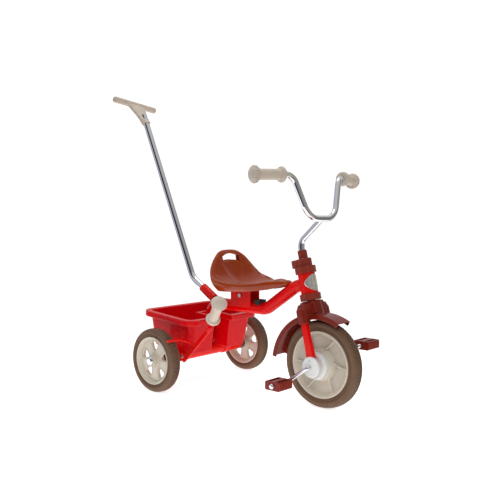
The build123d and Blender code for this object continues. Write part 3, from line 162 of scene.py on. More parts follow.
def smooth_line(points, steps, closed=False):
    """Catmull-Rom line through points given as tuples."""
    count = len(points)
    line = []
    spans = count if closed else count - 1
    for i in range(spans):
        if closed:
            a, b, c, d = (Vector(points[(i + k - 1) % count]) for k in range(4))
        else:
            a, b, c, d = (Vector(points[min(max(i + k - 1, 0), count - 1)]) for k in range(4))
        for k in range(steps):
            t = k / steps
            line.append(0.5 * (2 * b + (c - a) * t + (2 * a - 5 * b + 4 * c - d) * t * t
                               + (3 * b - a - 3 * c + d) * t**3))
    if not closed:
        line.append(Vector(points[-1]))
    return line


def read_curve(pairs, x):
    """Straight-line reading of (x, value) pairs."""
    if x <= pairs[0][0]:
        return pairs[0][1]
    for (x0, v0), (x1, v1) in zip(pairs, pairs[1:]):
        if x <= x1:
            return v0 + (v1 - v0) * (x - x0) / (x1 - x0)
    return pairs[-1][1]


def read_smooth(pairs, x):
    """Smooth reading of (x, value) pairs, with no corners at the pairs."""
    if x <= pairs[0][0]:
        return pairs[0][1]
    last = len(pairs) - 1
    for i in range(last):
        (x0, v0), (x1, v1) = pairs[i], pairs[i + 1]
        if x <= x1:
            before, after = pairs[max(i - 1, 0)], pairs[min(i + 2, last)]
            start = (v1 - before[1]) / (x1 - before[0]) * (x1 - x0)
            end = (after[1] - v0) / (after[0] - x0) * (x1 - x0)
            t = (x - x0) / (x1 - x0)
            return ((2 * t**3 - 3 * t**2 + 1) * v0 + (t**3 - 2 * t**2 + t) * start
                    + (3 * t**2 - 2 * t**3) * v1 + (t**3 - t**2) * end)
    return pairs[-1][1]


def apply_modifiers(obj):
    """Replaces an object's mesh by its evaluated one."""
    bpy.context.view_layer.update()
    evaluated = obj.evaluated_get(bpy.context.evaluated_depsgraph_get())
    mesh = bpy.data.meshes.new_from_object(evaluated)
    obj.modifiers.clear()
    obj.data = mesh


# ---------------------------------------------------------------- materials
COAT_ROUGHNESS = 0.04
NOISE_MIDDLE = (0.3, 0.7)       # the part of a noise's range that is used
DUST_PATCHES = (0.52, 0.75)     # where in a noise's range dust starts and is full
DUST_SCALE = 2.3                # dust to colour patches
SHEEN_SCALE = 4                 # patches of gloss to colour patches
WORN_EDGE = (0.51, 0.56)        # pointiness where wear starts and is full
PAINTED_SHADE_POINTINESS = (0.42, 0.495)          # pointiness where the painted shade in a hollow is darkest and ends
# how dark the painted shade in hollows is: the share of the colour left in the deepest hollows
PAINTED_SHADE_LEVEL = 0.25
PEEL_SCALE = 160.0
RELIEF_STRENGTH = 0.6
RELIEF_HEIGHT = 0.6 * MM


def paint(name, colour, roughness, metallic=0.0, coat=0.0, variation=0.12, patch=9.0, grain=900.0,
          bump=0.02, peel=0.0, wear=0.0, wear_colour=None, spread=0.06, painted_hollow_shade=0.0, dust=None, glow=0.0,
          specular=0.5):
    """A procedural surface: patches of colour and dust, fine grain, orange peel, worn edges, hollows darkened with
    painted shade.

    patch and grain are noise scales, dust is a colour and its share, wear is the share of wear_colour at edges,
    and the hollow share is the strength of the painted shade that darkens hollows.
    """
    material = bpy.data.materials.new(name)
    material.use_nodes = True
    nodes = material.node_tree.nodes
    links = material.node_tree.links
    shader = nodes["Principled BSDF"]
    shader.inputs["Metallic"].default_value = metallic
    shader.inputs["Coat Weight"].default_value = coat
    shader.inputs["Coat Roughness"].default_value = COAT_ROUGHNESS
    shader.inputs["Specular IOR Level"].default_value = specular
    if glow:
        shader.inputs["Emission Color"].default_value = (1, 1, 1, 1)
        shader.inputs["Emission Strength"].default_value = glow
    place = nodes.new("ShaderNodeTexCoord")

    def noise(scale, detail=4.0):
        node = nodes.new("ShaderNodeTexNoise")
        node.inputs["Scale"].default_value = scale
        node.inputs["Detail"].default_value = detail
        links.new(place.outputs["Object"], node.inputs["Vector"])
        return node.outputs["Fac"]

    def ranged(value, low, high, span=NOISE_MIDDLE):
        node = nodes.new("ShaderNodeMapRange")
        node.inputs["From Min"].default_value = span[0]
        node.inputs["From Max"].default_value = span[1]
        node.inputs["To Min"].default_value = low
        node.inputs["To Max"].default_value = high
        links.new(value, node.inputs["Value"])
        return node.outputs["Result"]

    def blend_colour(factor, first, second):
        node = nodes.new("ShaderNodeMix")
        node.data_type = "RGBA"
        links.new(factor, node.inputs["Factor"])
        for socket, value in (("A", first), ("B", second)):
            target = [s for s in node.inputs if s.name == socket and s.type == "RGBA"][0]
            if isinstance(value, tuple):
                target.default_value = value
            else:
                links.new(value, target)
        return [s for s in node.outputs if s.type == "RGBA"][0]

    def shade(factor):
        return tuple(min(1.0, c * factor) for c in colour) + (1.0,)

    base = blend_colour(ranged(noise(patch), 0, 1), shade(1 - variation), shade(1 + variation))
    if dust:
        dust_colour, dust_share = dust
        dusty = ranged(noise(patch * DUST_SCALE, 8.0), 0.0, dust_share, DUST_PATCHES)
        base = blend_colour(dusty, base, dust_colour + (1.0,))
    if wear:
        shape = nodes.new("ShaderNodeNewGeometry")
        edge = ranged(shape.outputs["Pointiness"], 0, wear, WORN_EDGE)
        base = blend_colour(edge, base, wear_colour + (1.0,))
    # painted shade: hollows darkened where the pointiness is low, standing in for the shade that falls in them
    if painted_hollow_shade:
        hollow = nodes.new("ShaderNodeNewGeometry")
        depth = ranged(hollow.outputs["Pointiness"], painted_hollow_shade, 0, PAINTED_SHADE_POINTINESS)
        base = blend_colour(depth, base, shade(PAINTED_SHADE_LEVEL))
    height = ranged(noise(grain), 0, bump)
    if peel:
        total = nodes.new("ShaderNodeMath")
        links.new(height, total.inputs[0])
        links.new(ranged(noise(PEEL_SCALE, 1.0), 0, peel), total.inputs[1])
        height = total.outputs[0]
    links.new(base, shader.inputs["Base Color"])
    sheen = ranged(noise(patch * SHEEN_SCALE, 6.0), max(0.02, roughness - spread), roughness + spread)
    links.new(sheen, shader.inputs["Roughness"])
    relief = nodes.new("ShaderNodeBump")
    relief.inputs["Strength"].default_value = RELIEF_STRENGTH
    relief.inputs["Distance"].default_value = RELIEF_HEIGHT
    links.new(height, relief.inputs["Height"])
    links.new(relief.outputs["Normal"], shader.inputs["Normal"])
    return material


red_enamel = paint("red_enamel", (0.84, 0.0010, 0.001), 0.17, coat=0.14, variation=0.04, peel=0.14, bump=0.02,
                   wear=0.18, wear_colour=(0.86, 0.05, 0.03), dust=((0.55, 0.004, 0.006), 0.25), spread=0.05,
                   specular=0.1)
red_plastic = paint("red_plastic", (0.76, 0.0010, 0.006), 0.28, coat=0.06, variation=0.04, grain=1600.0,
                    bump=0.02, peel=0.03, wear=0.40, wear_colour=(0.90, 0.16, 0.12),
                    dust=((0.60, 0.002, 0.006), 0.25), specular=0.12)
rust_plastic = paint("rust_plastic", (0.36, 0.046, 0.006), 0.22, coat=0.35, variation=0.08, patch=10.0,
                     grain=1400.0, bump=0.05, peel=0.08, wear=0.40, wear_colour=(0.48, 0.10, 0.025),
                     dust=((0.36, 0.055, 0.009), 0.25), specular=0.2)
maroon_plastic = paint("maroon_plastic", (0.21, 0.0145, 0.006), 0.30, coat=0.10, variation=0.10, patch=22.0,
                       grain=1500.0, bump=0.08, peel=0.12, wear=0.5, wear_colour=(0.36, 0.07, 0.045),
                       dust=((0.22, 0.020, 0.009), 0.25), specular=0.2)
# the tyres' rubber: its hollows carry painted shade
brown_rubber = paint("brown_rubber", (0.158, 0.083, 0.042), 0.62, variation=0.12, patch=30.0, grain=1300.0,
                     bump=0.25, peel=0.1, wear=0.45, wear_colour=(0.22, 0.125, 0.072),
                     dust=((0.16, 0.095, 0.058), 0.30), painted_hollow_shade=0.8)
# the wheels' plastic: its hollows carry painted shade
cream_plastic = paint("cream_plastic", (0.66, 0.59, 0.48), 0.34, coat=0.2, variation=0.04, patch=16.0,
                      grain=1500.0, bump=0.06, peel=0.10, wear=0.35, wear_colour=(0.76, 0.71, 0.62),
                      dust=((0.50, 0.43, 0.33), 0.15), painted_hollow_shade=0.25)
grip_plastic = paint("grip_plastic", (0.72, 0.62, 0.51), 0.48, variation=0.06, patch=24.0, grain=1100.0,
                     bump=0.12, dust=((0.52, 0.43, 0.34), 0.2))
# painted shade: a near-black brown for the floors of the tyre grooves, where shade falls
groove_painted_shade = paint("groove_painted_shade", (0.050, 0.027, 0.015), 0.75, variation=0.15, patch=30.0, grain=1300.0,
                     bump=0.2)
# painted shade: the dark colour of the dots that stand for the grips' pits
pit_painted_shade = paint("pit_painted_shade", (0.16, 0.085, 0.055), 0.60, variation=0.20, patch=60.0, grain=1300.0, bump=0.2)
white_plastic = paint("white_plastic", (0.84, 0.85, 0.82), 0.32, coat=0.2, variation=0.03, patch=20.0,
                      grain=1500.0, bump=0.05, peel=0.1, dust=((0.64, 0.62, 0.56), 0.15))
chrome = paint("chrome", (0.74, 0.745, 0.76), 0.055, metallic=1.0, variation=0.03, patch=12.0, grain=700.0,
               bump=0.003, peel=0.03, spread=0.03, dust=((0.58, 0.57, 0.56), 0.15))
zinc = paint("zinc", (0.60, 0.60, 0.57), 0.28, metallic=1.0, variation=0.10, patch=60.0, grain=1800.0,
             bump=0.08, dust=((0.40, 0.37, 0.33), 0.3))
black_plastic = paint("black_plastic", (0.018, 0.017, 0.017), 0.42, variation=0.2, grain=1500.0, bump=0.15,
                      wear=0.3, wear_colour=(0.06, 0.06, 0.06))
black_rubber = paint("black_rubber", (0.016, 0.015, 0.014), 0.72, variation=0.25, grain=1200.0, bump=0.35,
                     wear=0.3, wear_colour=(0.05, 0.05, 0.05))
badge_metal = paint("badge_metal", (0.66, 0.64, 0.58), 0.26, metallic=0.6, variation=0.06, patch=60.0,
                    grain=2200.0, bump=0.02, dust=((0.48, 0.45, 0.40), 0.15))

# the CAD nodes that show; the others are replaced further down
NODE_MATERIALS = {
    red_enamel: ("head_tube", "main_tube", "rear_axle_housing", "seat_bracket", "push_socket", "bucket_clips",
                 "brake_bracket", "fork", "brake_lever", "brake_rod"),
    maroon_plastic: ("upper_head_cup", "lower_head_cup", "steering_lock_nut", "stem_collar"),
    grip_plastic: ("grip_right", "grip_left", "brake_grip"),
    white_plastic: ("hub_cover_right", "hub_cover_left"),
    chrome: ("crank_axle", "hub_caps", "pedal_caps"),
    zinc: ("rear_axle", "bracket_cross_bolt", "seat_screws", "brake_pivot_bolt", "hub_cover_screws",
           "snap_button"),
    black_plastic: ("axle_bush_right", "axle_bush_left"),
    black_rubber: ("seat_buffer",),
    badge_metal: ("head_badge",),
}
for node_material, names in NODE_MATERIALS.items():
    for node in names:
        part = frame["nodes"][node]
        part.data.materials.clear()
        part.data.materials.append(node_material)

# ---------------------------------------------------------------- slightly broken edges on CAD nodes that show
EDGE_WIDTHS = {     # millimetres
    "fork": 0.5, "steering_lock_nut": 1.2, "stem_collar": 0.6, "upper_head_cup": 1.0, "lower_head_cup": 1.0,
    "seat_bracket": 0.8, "brake_lever": 0.8, "push_socket": 0.5, "head_tube": 0.4, "hub_cover_right": 0.3,
    "hub_cover_left": 0.3, "brake_bracket": 0.6, "bucket_clips": 0.5,
}
SHARP_EDGE = radians(40)


def break_edges(node, width):
    """A narrow bevel on the sharp edges of a CAD node, as a modifier."""
    bevel = frame["nodes"][node].modifiers.new("edge", "BEVEL")
    bevel.width = width * MM
    bevel.segments = 2
    bevel.limit_method = "ANGLE"
    bevel.angle_limit = SHARP_EDGE
    bevel.harden_normals = False


# ---------------------------------------------------------------- tyres with chevron tread
CROWN_STEPS = 16            # points from the sidewall's widest place to the crest
SIDEWALL_STEPS = 14         # points from there to the rim
SIDEWALL_RINGS = (2, 3, 6, 10)      # which of those points are sunk as rings
RING_DEPTH = 0.9
GROOVE_DEPTH = 2.0
WIDEST_SHARE = 0.42         # where the tyre is widest, between its seat and its crest
DRAWN_IN = 0.17             # how much narrower it is at its seat
TREAD_SHARE = 0.80          # width of the tread to that of the tyre


def tyre(node, wheel_node, body, teeth, lean):
    """A moulded tyre: fine rings on the sidewalls and chevron grooves across the tread, their floors darkened with
    painted shade.
    """
    centre = middle(node)
    _, half, outer = half_size(node)
    seat_radius = half_size(wheel_node)[2] + 0.1
    wide = seat_radius + WIDEST_SHARE * (outer - seat_radius)
    section = []
    for k in range(CROWN_STEPS + 1):
        angle = radians(90 * k / CROWN_STEPS)
        section.append((half * sin(angle) ** 0.80, wide + (outer - wide) * cos(angle) ** 0.62))
    for k in range(1, SIDEWALL_STEPS + 1):
        t = k / SIDEWALL_STEPS
        ripple = RING_DEPTH if k in SIDEWALL_RINGS else 0
        section.append((half * (1 - DRAWN_IN * t) - ripple, wide + (seat_radius - wide) * t))
    line = [(-y, r) for y, r in reversed(section)] + section[1:]
    tread_half = TREAD_SHARE * half
    pitch = 2 * pi * outer / teeth
    rings = []
    for y, r in line:
        shift = min(abs(y), tread_half) / pitch * lean
        on_tread = max(0.0, 1 - (abs(y) / tread_half) ** 6)
        ring = []
        for k in range(4 * teeth):
            cut = GROOVE_DEPTH * on_tread if k % 4 in (0, 1) else 0
            turn = 2 * pi * (k / 4 + shift) / teeth
            radius = (r - cut) * MM
            ring.append(centre + Vector((radius * sin(turn), y * MM, -radius * cos(turn))))
        rings.append(ring)
    rings.append(list(rings[0]))
    piece = skin(f"{node}_moulded", rings)
    finish_mesh(piece, body, brown_rubber, [node], crease=50)
    # painted shade: faces on the groove floors take the darker groove material
    piece.data.materials.append(groove_painted_shade)
    for polygon in piece.data.polygons:
        spot = (polygon.center - centre) / MM
        crest = read_curve(line, spot.y)
        if abs(spot.y) < tread_half and Vector((spot.x, 0, spot.z)).length < crest - 0.7 * GROOVE_DEPTH:
            polygon.material_index = 1


tyre("front_tyre", "front_wheel", "front_wheel_turning", 96, 1.0)
for side in ("right", "left"):
    tyre(f"rear_tyre_{side}", f"rear_wheel_{side}", f"rear_wheel_{side}_turning", 84, 0.6)

# ---------------------------------------------------------------- wheels
ALONG_Y = Vector((0, 1, 0))
REAR_RIM_HALF = 18.5        # half the rim's width
WEB_THICKNESS = 9.0
WEB_ROUNDING = 1.2
REAR_SPOKES = 5
WINDOW = [(28, 0), (33, 6.5), (46, 13), (53, 14.5), (57, 10), (58.5, 0), (57, -10), (53, -14.5), (46, -13),
          (33, -6.5)]
LIP = ((1.2, 4.2), (1.4, 5.6), (2.2, 6.2), (3.2, 5.6), (3.8, 4.2))     # (outside the window, above mid-plane)
FRONT_RIM_HALF = 19.0
FRONT_DISC_HALF = 5.0
RIB_COUNT = 6
RIB_TURN = radians(85)
RIB_LINE = [(41, 5), (47, -12), (60, -27), (80, -41)]
RIB_HALF = 1.5
RIB_ROOT = 4.5              # level inside the disc where a rib starts
RIB_TOP = 19.0              # level of its back at the hub
RIB_FALL = 6.0              # how much lower that is at the rim
DRUM_LEVEL = 22             # where the white drum starts, from mid-plane
DRUM = [(0, 0), (37.0, 0), (38.5, 3), (38.0, 18.5), (36.5, 20.5), (31.0, 20.8), (30.0, 20.0), (6.0, 20.0),
        (6.0, 0)]


def mirrored(profile):
    """A closed section: the given (radius, offset) half from the axle outwards, and its mirror image."""
    return profile + [(r, -y) for r, y in reversed(profile)]


def flat_web(name, centre, outlines, thickness, rounding):
    """A flat plate with holes in the wheel's plane: the first outline is its edge, the others its windows."""
    curve = bpy.data.curves.new(name, "CURVE")
    curve.dimensions = "2D"
    curve.fill_mode = "BOTH"
    curve.extrude = (thickness / 2 - rounding) * MM
    curve.bevel_depth = rounding * MM
    curve.bevel_resolution = 2
    for outline in outlines:
        spline = curve.splines.new("POLY")
        spline.points.add(len(outline) - 1)
        spline.use_cyclic_u = True
        for point, (x, z) in zip(spline.points, outline):
            point.co = (x * MM, z * MM, 0, 1)
    holder = bpy.data.objects.new(name, curve)
    bpy.context.collection.objects.link(holder)
    bpy.context.view_layer.update()
    mesh = bpy.data.meshes.new_from_object(holder.evaluated_get(bpy.context.evaluated_depsgraph_get()))
    bpy.data.objects.remove(holder)
    for vertex in mesh.vertices:
        x, y, z = vertex.co
        vertex.co = (centre.x + x, centre.y + z, centre.z + y)
    mesh.flip_normals()
    obj = bpy.data.objects.new(name, mesh)
    bpy.context.collection.objects.link(obj)
    return obj


def circle(radius, steps=96):
    """Points of a circle in the wheel's plane."""
    return [(radius * cos(2 * pi * k / steps), radius * sin(2 * pi * k / steps)) for k in range(steps)]


def turned_outline(points, angle):
    """An outline turned about the axle."""
    return [(x * cos(angle) - z * sin(angle), x * sin(angle) + z * cos(angle)) for x, z in points]


def window_lip(name, body, centre, outline, hand):
    """The raised lip round one window, on the side of the wheel that hand gives."""
    edge = [Vector((x, z)) for x, z in outline]
    heart = sum(edge, Vector((0, 0))) / len(edge)
    rings = []
    for grow, lift in LIP:
        ring = []
        for p in edge:
            q = p + (p - heart).normalized() * grow
            ring.append(centre + Vector((q.x * MM, hand * lift * MM, q.y * MM)))
        rings.append(ring)
    finish_mesh(skin(name, rings), body, cream_plastic)


def rear_wheel(side):
    """A five-spoke moulded wheel: dished rim, windows with raised lips, ringed hub."""
    node = f"rear_wheel_{side}"
    body = f"rear_wheel_{side}_turning"
    centre = middle(node)
    _, hub_half, rim = half_size(node)
    half = REAR_RIM_HALF
    section = mirrored([(rim - 12.0, 3.5), (rim - 11.0, 6.0), (rim - 7.0, 14.0), (rim - 5.2, half - 2.5),
                        (rim - 3.0, half - 0.6), (rim - 1.4, half), (rim - 0.3, half - 0.8), (rim, half - 2.4)])
    rim_piece = lathe(f"{node}_rim", section, centre, ALONG_Y, 128, wrap=True)
    finish_mesh(rim_piece, body, cream_plastic, [node])
    window = [tuple(p) for p in smooth_line(WINDOW, 5, closed=True)]
    windows = [turned_outline(window, pi / 2 + 2 * pi * k / REAR_SPOKES) for k in range(REAR_SPOKES)]
    web = flat_web(f"{node}_web", centre, [circle(rim - 9.5)] + windows, WEB_THICKNESS, WEB_ROUNDING)
    finish_mesh(web, body, cream_plastic, crease=60)
    hub = mirrored([(6.2, hub_half), (15.5, hub_half), (16.8, hub_half - 1.2), (17.3, 12.0), (19.0, 8.5),
                    (22.5, 7.5), (24.0, 6.2), (24.5, 4.0)])
    hub_piece = lathe(f"{node}_hub", hub, centre, ALONG_Y, 64, wrap=True)
    finish_mesh(hub_piece, body, cream_plastic)
    for hand, face in ((-1, "out"), (1, "in")):
        for k, outline in enumerate(windows):
            window_lip(f"{node}_lip_{k}_{face}", body, centre, outline, hand)


rear_wheel("right")
rear_wheel("left")


def swept_rib(name, body, centre, angle, hand):
    """One curved rib of the front wheel, from the hub to the rim, on the side that hand gives."""
    line = smooth_line(RIB_LINE, 4)
    last = len(line) - 1
    rings = []
    for i, p in enumerate(line):
        run = (line[min(i + 1, last)] - line[max(i - 1, 0)]).normalized()
        across = Vector((-run.y, run.x)) * RIB_HALF
        top = RIB_TOP - RIB_FALL * (i / last)
        ring = []
        for offset, level in ((1, RIB_ROOT), (0.95, top - 1.0), (0.5, top), (-0.5, top), (-0.95, top - 1.0),
                              (-1, RIB_ROOT)):
            x, z = turned_outline([tuple(p + across * offset)], angle)[0]
            ring.append(centre + Vector((x * MM, hand * level * MM, z * MM)))
        rings.append(ring)
    finish_mesh(skin(name, rings, caps=True), body, cream_plastic, crease=50)


def front_wheel():
    """A disc wheel with six swept ribs, a stepped hub and a white drum at each side."""
    body = "front_wheel_turning"
    centre = middle("front_wheel")
    rim = half_size("front_wheel")[2]
    half = FRONT_RIM_HALF
    disc = FRONT_DISC_HALF
    section = mirrored([(5.6, 43.0), (20.0, 43.0), (20.0, 30.0), (38.0, 24.0), (42.0, 22.6), (44.5, 19.0),
                        (47.5, 9.0), (50.0, disc), (78.0, disc), (81.0, disc + 1.2), (85.5, 13.0),
                        (88.0, half - 3.5), (90.0, half - 1.6), (92.4, half - 0.2), (94.2, half - 0.2),
                        (rim - 0.2, half - 1.2), (rim, half - 3.0)])
    wheel = lathe("front_wheel_moulded", section, centre, ALONG_Y, 128, wrap=True)
    finish_mesh(wheel, body, cream_plastic, ["front_wheel"])
    for hand, side in ((-1, "right"), (1, "left")):
        for k in range(RIB_COUNT):
            swept_rib(f"front_wheel_rib_{k}_{side}", body, centre, 2 * pi * k / RIB_COUNT + RIB_TURN, hand)
        drum_base = centre + Vector((0, hand * DRUM_LEVEL * MM, 0))
        drum = lathe(f"front_drum_{side}", DRUM, drum_base, ALONG_Y * hand, 96)
        finish_mesh(drum, body, white_plastic)


front_wheel()

# ---------------------------------------------------------------- seat
# in millimetres, x ahead of the rear axle: (x, y) of the outline, (y, height) of the arch, (x, height) of the rim,
# dish and hem, and (x, inset) of the tuck
SEAT_OUTLINE = [(107, 0), (111, -42), (118, -65), (125, -86), (137, -104), (160, -117), (200, -113), (236, -90),
                (266, -60), (300, -38), (340, -27), (362, -15), (369, 0)]
SEAT_ARCH = [(0, 438), (25, 437), (45, 432), (65, 420), (86, 400), (104, 377), (117, 356)]
SEAT_RIM = [(160, 356), (178, 351), (200, 346.5), (225, 343.5), (250, 342), (280, 345), (310, 351), (345, 353.5),
            (369, 353.5)]
SEAT_DISH = [(107, 436), (112, 420), (119, 396), (128, 374), (140, 355), (156, 341), (180, 331), (215, 327),
             (250, 332), (280, 342), (305, 352), (325, 357.5), (345, 358), (369, 352)]
SEAT_HEM = [(107, 317), (250, 317), (300, 324), (330, 331), (369, 341)]
SEAT_TUCK = [(107, 39), (137, 30), (160, 22), (236, 20), (266, 12), (300, 6), (369, 4)]
SEAT_BACK = SEAT_OUTLINE[0][0]
SEAT_LENGTH = SEAT_OUTLINE[-1][0] - SEAT_BACK
ARCH_END = 160              # behind this the rim's height follows the arch
SPINE_START = 168           # the line down the middle that the dish runs out from
SPINE_LENGTH = 172
RIM_WIDTH = 9.5
DISH_EDGE = 4.5             # the dish's edge below the rim
DISH_THICKNESS = 4.5
FLANK_THICKNESS = 3.5
FLANK_TOP = 8               # the flank's upper edge below the rim
RIM_ROLL = ((7.4, 2.2), (5.6, 0.7), (4.0, 0.1), (2.2, 0.8), (0.8, 2.8), (0.1, 5.4))     # (inset, drop)
SLOT_HALF = 38              # the grab slot: half width, heights in the middle, fall of its arch at the ends
SLOT_TOP = 426
SLOT_BOTTOM = 406.5
SLOT_ARCH = 9.0
SLOT_STEPS = 16
SLOT_CORNER = 0.985
SLOT_CUT = (60, 170)        # where the cutter starts and ends, ahead of the rear axle


def slot_outline():
    """(y, z) points round the grab slot: an arched top, a flatter arch below, corners drawn in a little."""
    points = []
    for way, level, arch in ((1, SLOT_TOP, SLOT_ARCH), (-1, SLOT_BOTTOM, 0.7 * SLOT_ARCH)):
        for k in range(SLOT_STEPS + 1):
            y = way * (2 * SLOT_HALF * k / SLOT_STEPS - SLOT_HALF)
            corner = SLOT_CORNER if k in (0, SLOT_STEPS) else 1
            points.append((y * corner, level - arch * (y / SLOT_HALF) ** 2))
    return points


def seat():
    """A dished seat with a rolled rim, tucked flanks, a crowned nose and the grab slot cut through its back."""
    loop = SEAT_OUTLINE + [(x, -y) for x, y in reversed(SEAT_OUTLINE[1:-1])]
    rim_line = smooth_line(loop, 8, closed=True)
    count = len(rim_line)
    inward = []
    for i in range(count):
        run = rim_line[(i + 1) % count] - rim_line[i - 1]
        inward.append(Vector((-run.y, run.x)).normalized())

    def rim_height(p):
        return read_smooth(SEAT_ARCH, abs(p.y)) if p.x < ARCH_END else read_smooth(SEAT_RIM, p.x)

    def ring(inset, height, tuck=0.0):
        points = []
        for p, n in zip(rim_line, inward):
            q = p + n * (inset + tuck * read_smooth(SEAT_TUCK, p.x))
            points.append(ahead(q.x, q.y, height(p)))
        return points

    def dish(t, drop):
        points = []
        for p, n in zip(rim_line, inward):
            edge = p + n * RIM_WIDTH
            spine = Vector((SPINE_START + (p.x - SEAT_BACK) / SEAT_LENGTH * SPINE_LENGTH, 0))
            q = spine.lerp(edge, t)
            blend = t**2.6
            z = read_smooth(SEAT_DISH, q.x) * (1 - blend) + (rim_height(p) - DISH_EDGE) * blend
            points.append(ahead(q.x, q.y, z - drop))
        return points

    def rolled(drop):
        return lambda p: rim_height(p) - drop

    def flank(v):
        def height(p):
            top = rim_height(p) - FLANK_TOP
            return top + (read_smooth(SEAT_HEM, p.x) - rim_height(p) + FLANK_TOP) * v
        return height

    rings = [dish(t, 0) for t in (0, 0.12, 0.25, 0.38, 0.5, 0.62, 0.72, 0.82, 0.9, 0.96, 1.0)]
    rings += [ring(inset, rolled(drop)) for inset, drop in RIM_ROLL]
    rings += [ring(0, flank(v), v**1.7) for v in (0.0, 0.15, 0.3, 0.45, 0.6, 0.75, 0.88, 1.0)]
    rings += [ring(FLANK_THICKNESS, flank(v), v**1.7) for v in (1.0, 0.8, 0.5, 0.2)]
    rings += [dish(t, DISH_THICKNESS) for t in (0.97, 0.85, 0.7, 0.5, 0.3, 0.12, 0)]
    shell = skin("seat_moulded", rings)
    slot = slot_outline()
    cutter = skin("seat_slot_cutter", [[ahead(x, y, z) for y, z in slot] for x in SLOT_CUT], caps=True)
    cut = shell.modifiers.new("slot", "BOOLEAN")
    cut.operation = "DIFFERENCE"
    cut.solver = "EXACT"
    cut.object = cutter
    apply_modifiers(shell)
    bpy.data.objects.remove(cutter)
    finish_mesh(shell, "frame", rust_plastic, ["seat"], crease=50)


seat()


# ---------------------------------------------------------------- bright bent tubes
BEND_STEPS = 14
TUBE_SIDES = 40


def rounded_path(points, bends):
    """Points along a polyline whose inner corners are arcs of the given radii, in millimetres."""
    path = [points[0]]
    for i, bend in enumerate(bends, 1):
        corner = points[i]
        back = (points[i - 1] - corner).normalized()
        forth = (points[i + 1] - corner).normalized()
        half = back.angle(forth) / 2
        reach = bend * MM / tan(half)
        start = corner + back * reach
        middle_way = (back + forth).normalized()
        centre = corner + middle_way * (bend * MM / sin(half))
        spoke = start - centre
        other = corner + forth * reach - centre
        total = spoke.angle(other)
        axis = spoke.cross(other).normalized()
        for k in range(BEND_STEPS + 1):
            path.append(centre + Quaternion(axis, total * k / BEND_STEPS) @ spoke)
    path.append(points[-1])
    return path


def bent_tube(name, points, bends, radius, wall, body, replaced):
    """A chromed tube with round bends, open at both ends, that stands for a CAD tube."""
    path = rounded_path(points, bends)
    side_way = side_axes((path[1] - path[0]).normalized())[0]
    sections = []
    for i, spot in enumerate(path):
        run = (path[min(i + 1, len(path) - 1)] - path[max(i - 1, 0)]).normalized()
        side_way = (side_way - run * side_way.dot(run)).normalized()
        sections.append((spot, side_way, run.cross(side_way)))
    rings = []
    for size, order in ((radius, sections), (radius - wall, reversed(sections))):
        for spot, first, second in order:
            ring = []
            for k in range(TUBE_SIDES):
                turn = 2 * pi * k / TUBE_SIDES
                ring.append(spot + (first * cos(turn) + second * sin(turn)) * size * MM)
            rings.append(ring)
    tube = skin(name, rings, wrap=True)
    finish_mesh(tube, body, chrome, [replaced], crease=50)


BAR_PATH = [(428.5, -234, 652.5), (461, -109, 656), (482, -61, 537), (482, 61, 537), (461, 109, 656),
            (428.5, 234, 652.5)]
BAR_BENDS = [36, 58, 58, 36]
BAR_RADIUS = 9.0
BAR_WALL = 1.6
STEM_RADIUS = 9.5
STEM_BEND = 30
STEM_FOOT = 225             # along the steering axis from the front axle
STEM_CORNER = 352
bent_tube("handlebar_bright", [ahead(*p) for p in BAR_PATH], BAR_BENDS, BAR_RADIUS, BAR_WALL, "steering",
          "handlebar")
bent_tube("stem_bright", [FRONT + STEER * STEM_FOOT * MM, FRONT + STEER * STEM_CORNER * MM, ahead(482, 0, 537)],
          [STEM_BEND], STEM_RADIUS, BAR_WALL, "steering", "handlebar_stem")

PUSH_RADIUS = 11.0
PUSH_WALL = 1.5
PUSH_BEND = 60
PUSH_SEAM = 0.6
PUSH_UPPER_LENGTH = 257
PUSH_IN_SOCKET = 50
PUSH_KNEE = ahead(-50, 0, 339)
PUSH_SPLIT = ahead(-198, 0, 670)
PUSH_WAY = (PUSH_SPLIT - PUSH_KNEE).normalized()
SOCKET_MOUTH = ahead(-1, 0, 308.5)
SOCKET_WAY = (PUSH_KNEE - SOCKET_MOUTH).normalized()
bent_tube("push_lower_bright", [SOCKET_MOUTH - SOCKET_WAY * PUSH_IN_SOCKET * MM, PUSH_KNEE, PUSH_SPLIT],
          [PUSH_BEND], PUSH_RADIUS, PUSH_WALL, "push_handle", "push_tube_lower")
bent_tube("push_upper_bright",
          [PUSH_SPLIT + PUSH_WAY * PUSH_SEAM * MM, PUSH_SPLIT + PUSH_WAY * PUSH_UPPER_LENGTH * MM],
          [], PUSH_RADIUS, PUSH_WALL, "push_handle", "push_tube_upper")


# ---------------------------------------------------------------- mouldings with blended corners
def moulding(node, body, material, voxel, rounds, keep, extras=()):
    """A copy of a CAD solid, with any extra closed shapes, its corners blended as a mould leaves them."""
    mesh = frame["nodes"][node].data.copy()
    if extras:
        joined = bmesh.new()
        joined.from_mesh(mesh)
        for extra in extras:
            joined.from_mesh(extra.data)
            bpy.data.objects.remove(extra)
        joined.to_mesh(mesh)
        joined.free()
    obj = bpy.data.objects.new(f"{node}_moulded", mesh)
    bpy.context.collection.objects.link(obj)
    remesh = obj.modifiers.new("remesh", "REMESH")
    remesh.mode = "VOXEL"
    remesh.voxel_size = voxel * MM
    smooth = obj.modifiers.new("smooth", "SMOOTH")
    smooth.factor = 0.5
    smooth.iterations = rounds
    fewer = obj.modifiers.new("fewer", "DECIMATE")
    fewer.ratio = keep
    apply_modifiers(obj)
    finish_mesh(obj, body, material, [node], crease=60)


# (distance from the middle, height along the steering axis, half length, half depth), from column to leg
SHOULDER = [(8, 162, 19, 17), (30, 162, 18, 16), (44, 161, 17, 15.5), (51.5, 154, 16, 14), (53.5, 142, 15.5, 11),
            (53.5, 130, 15.5, 9.8), (53.5, 121, 16.5, 9.8)]
SHOULDER_STEPS = 32
SHOULDER_SQUARE = 0.7       # 1 is an ellipse, less is squarer
COLUMN = [(0, 138), (31, 138), (29.0, 160), (27.4, 180.5), (26.6, 182), (0, 182)]


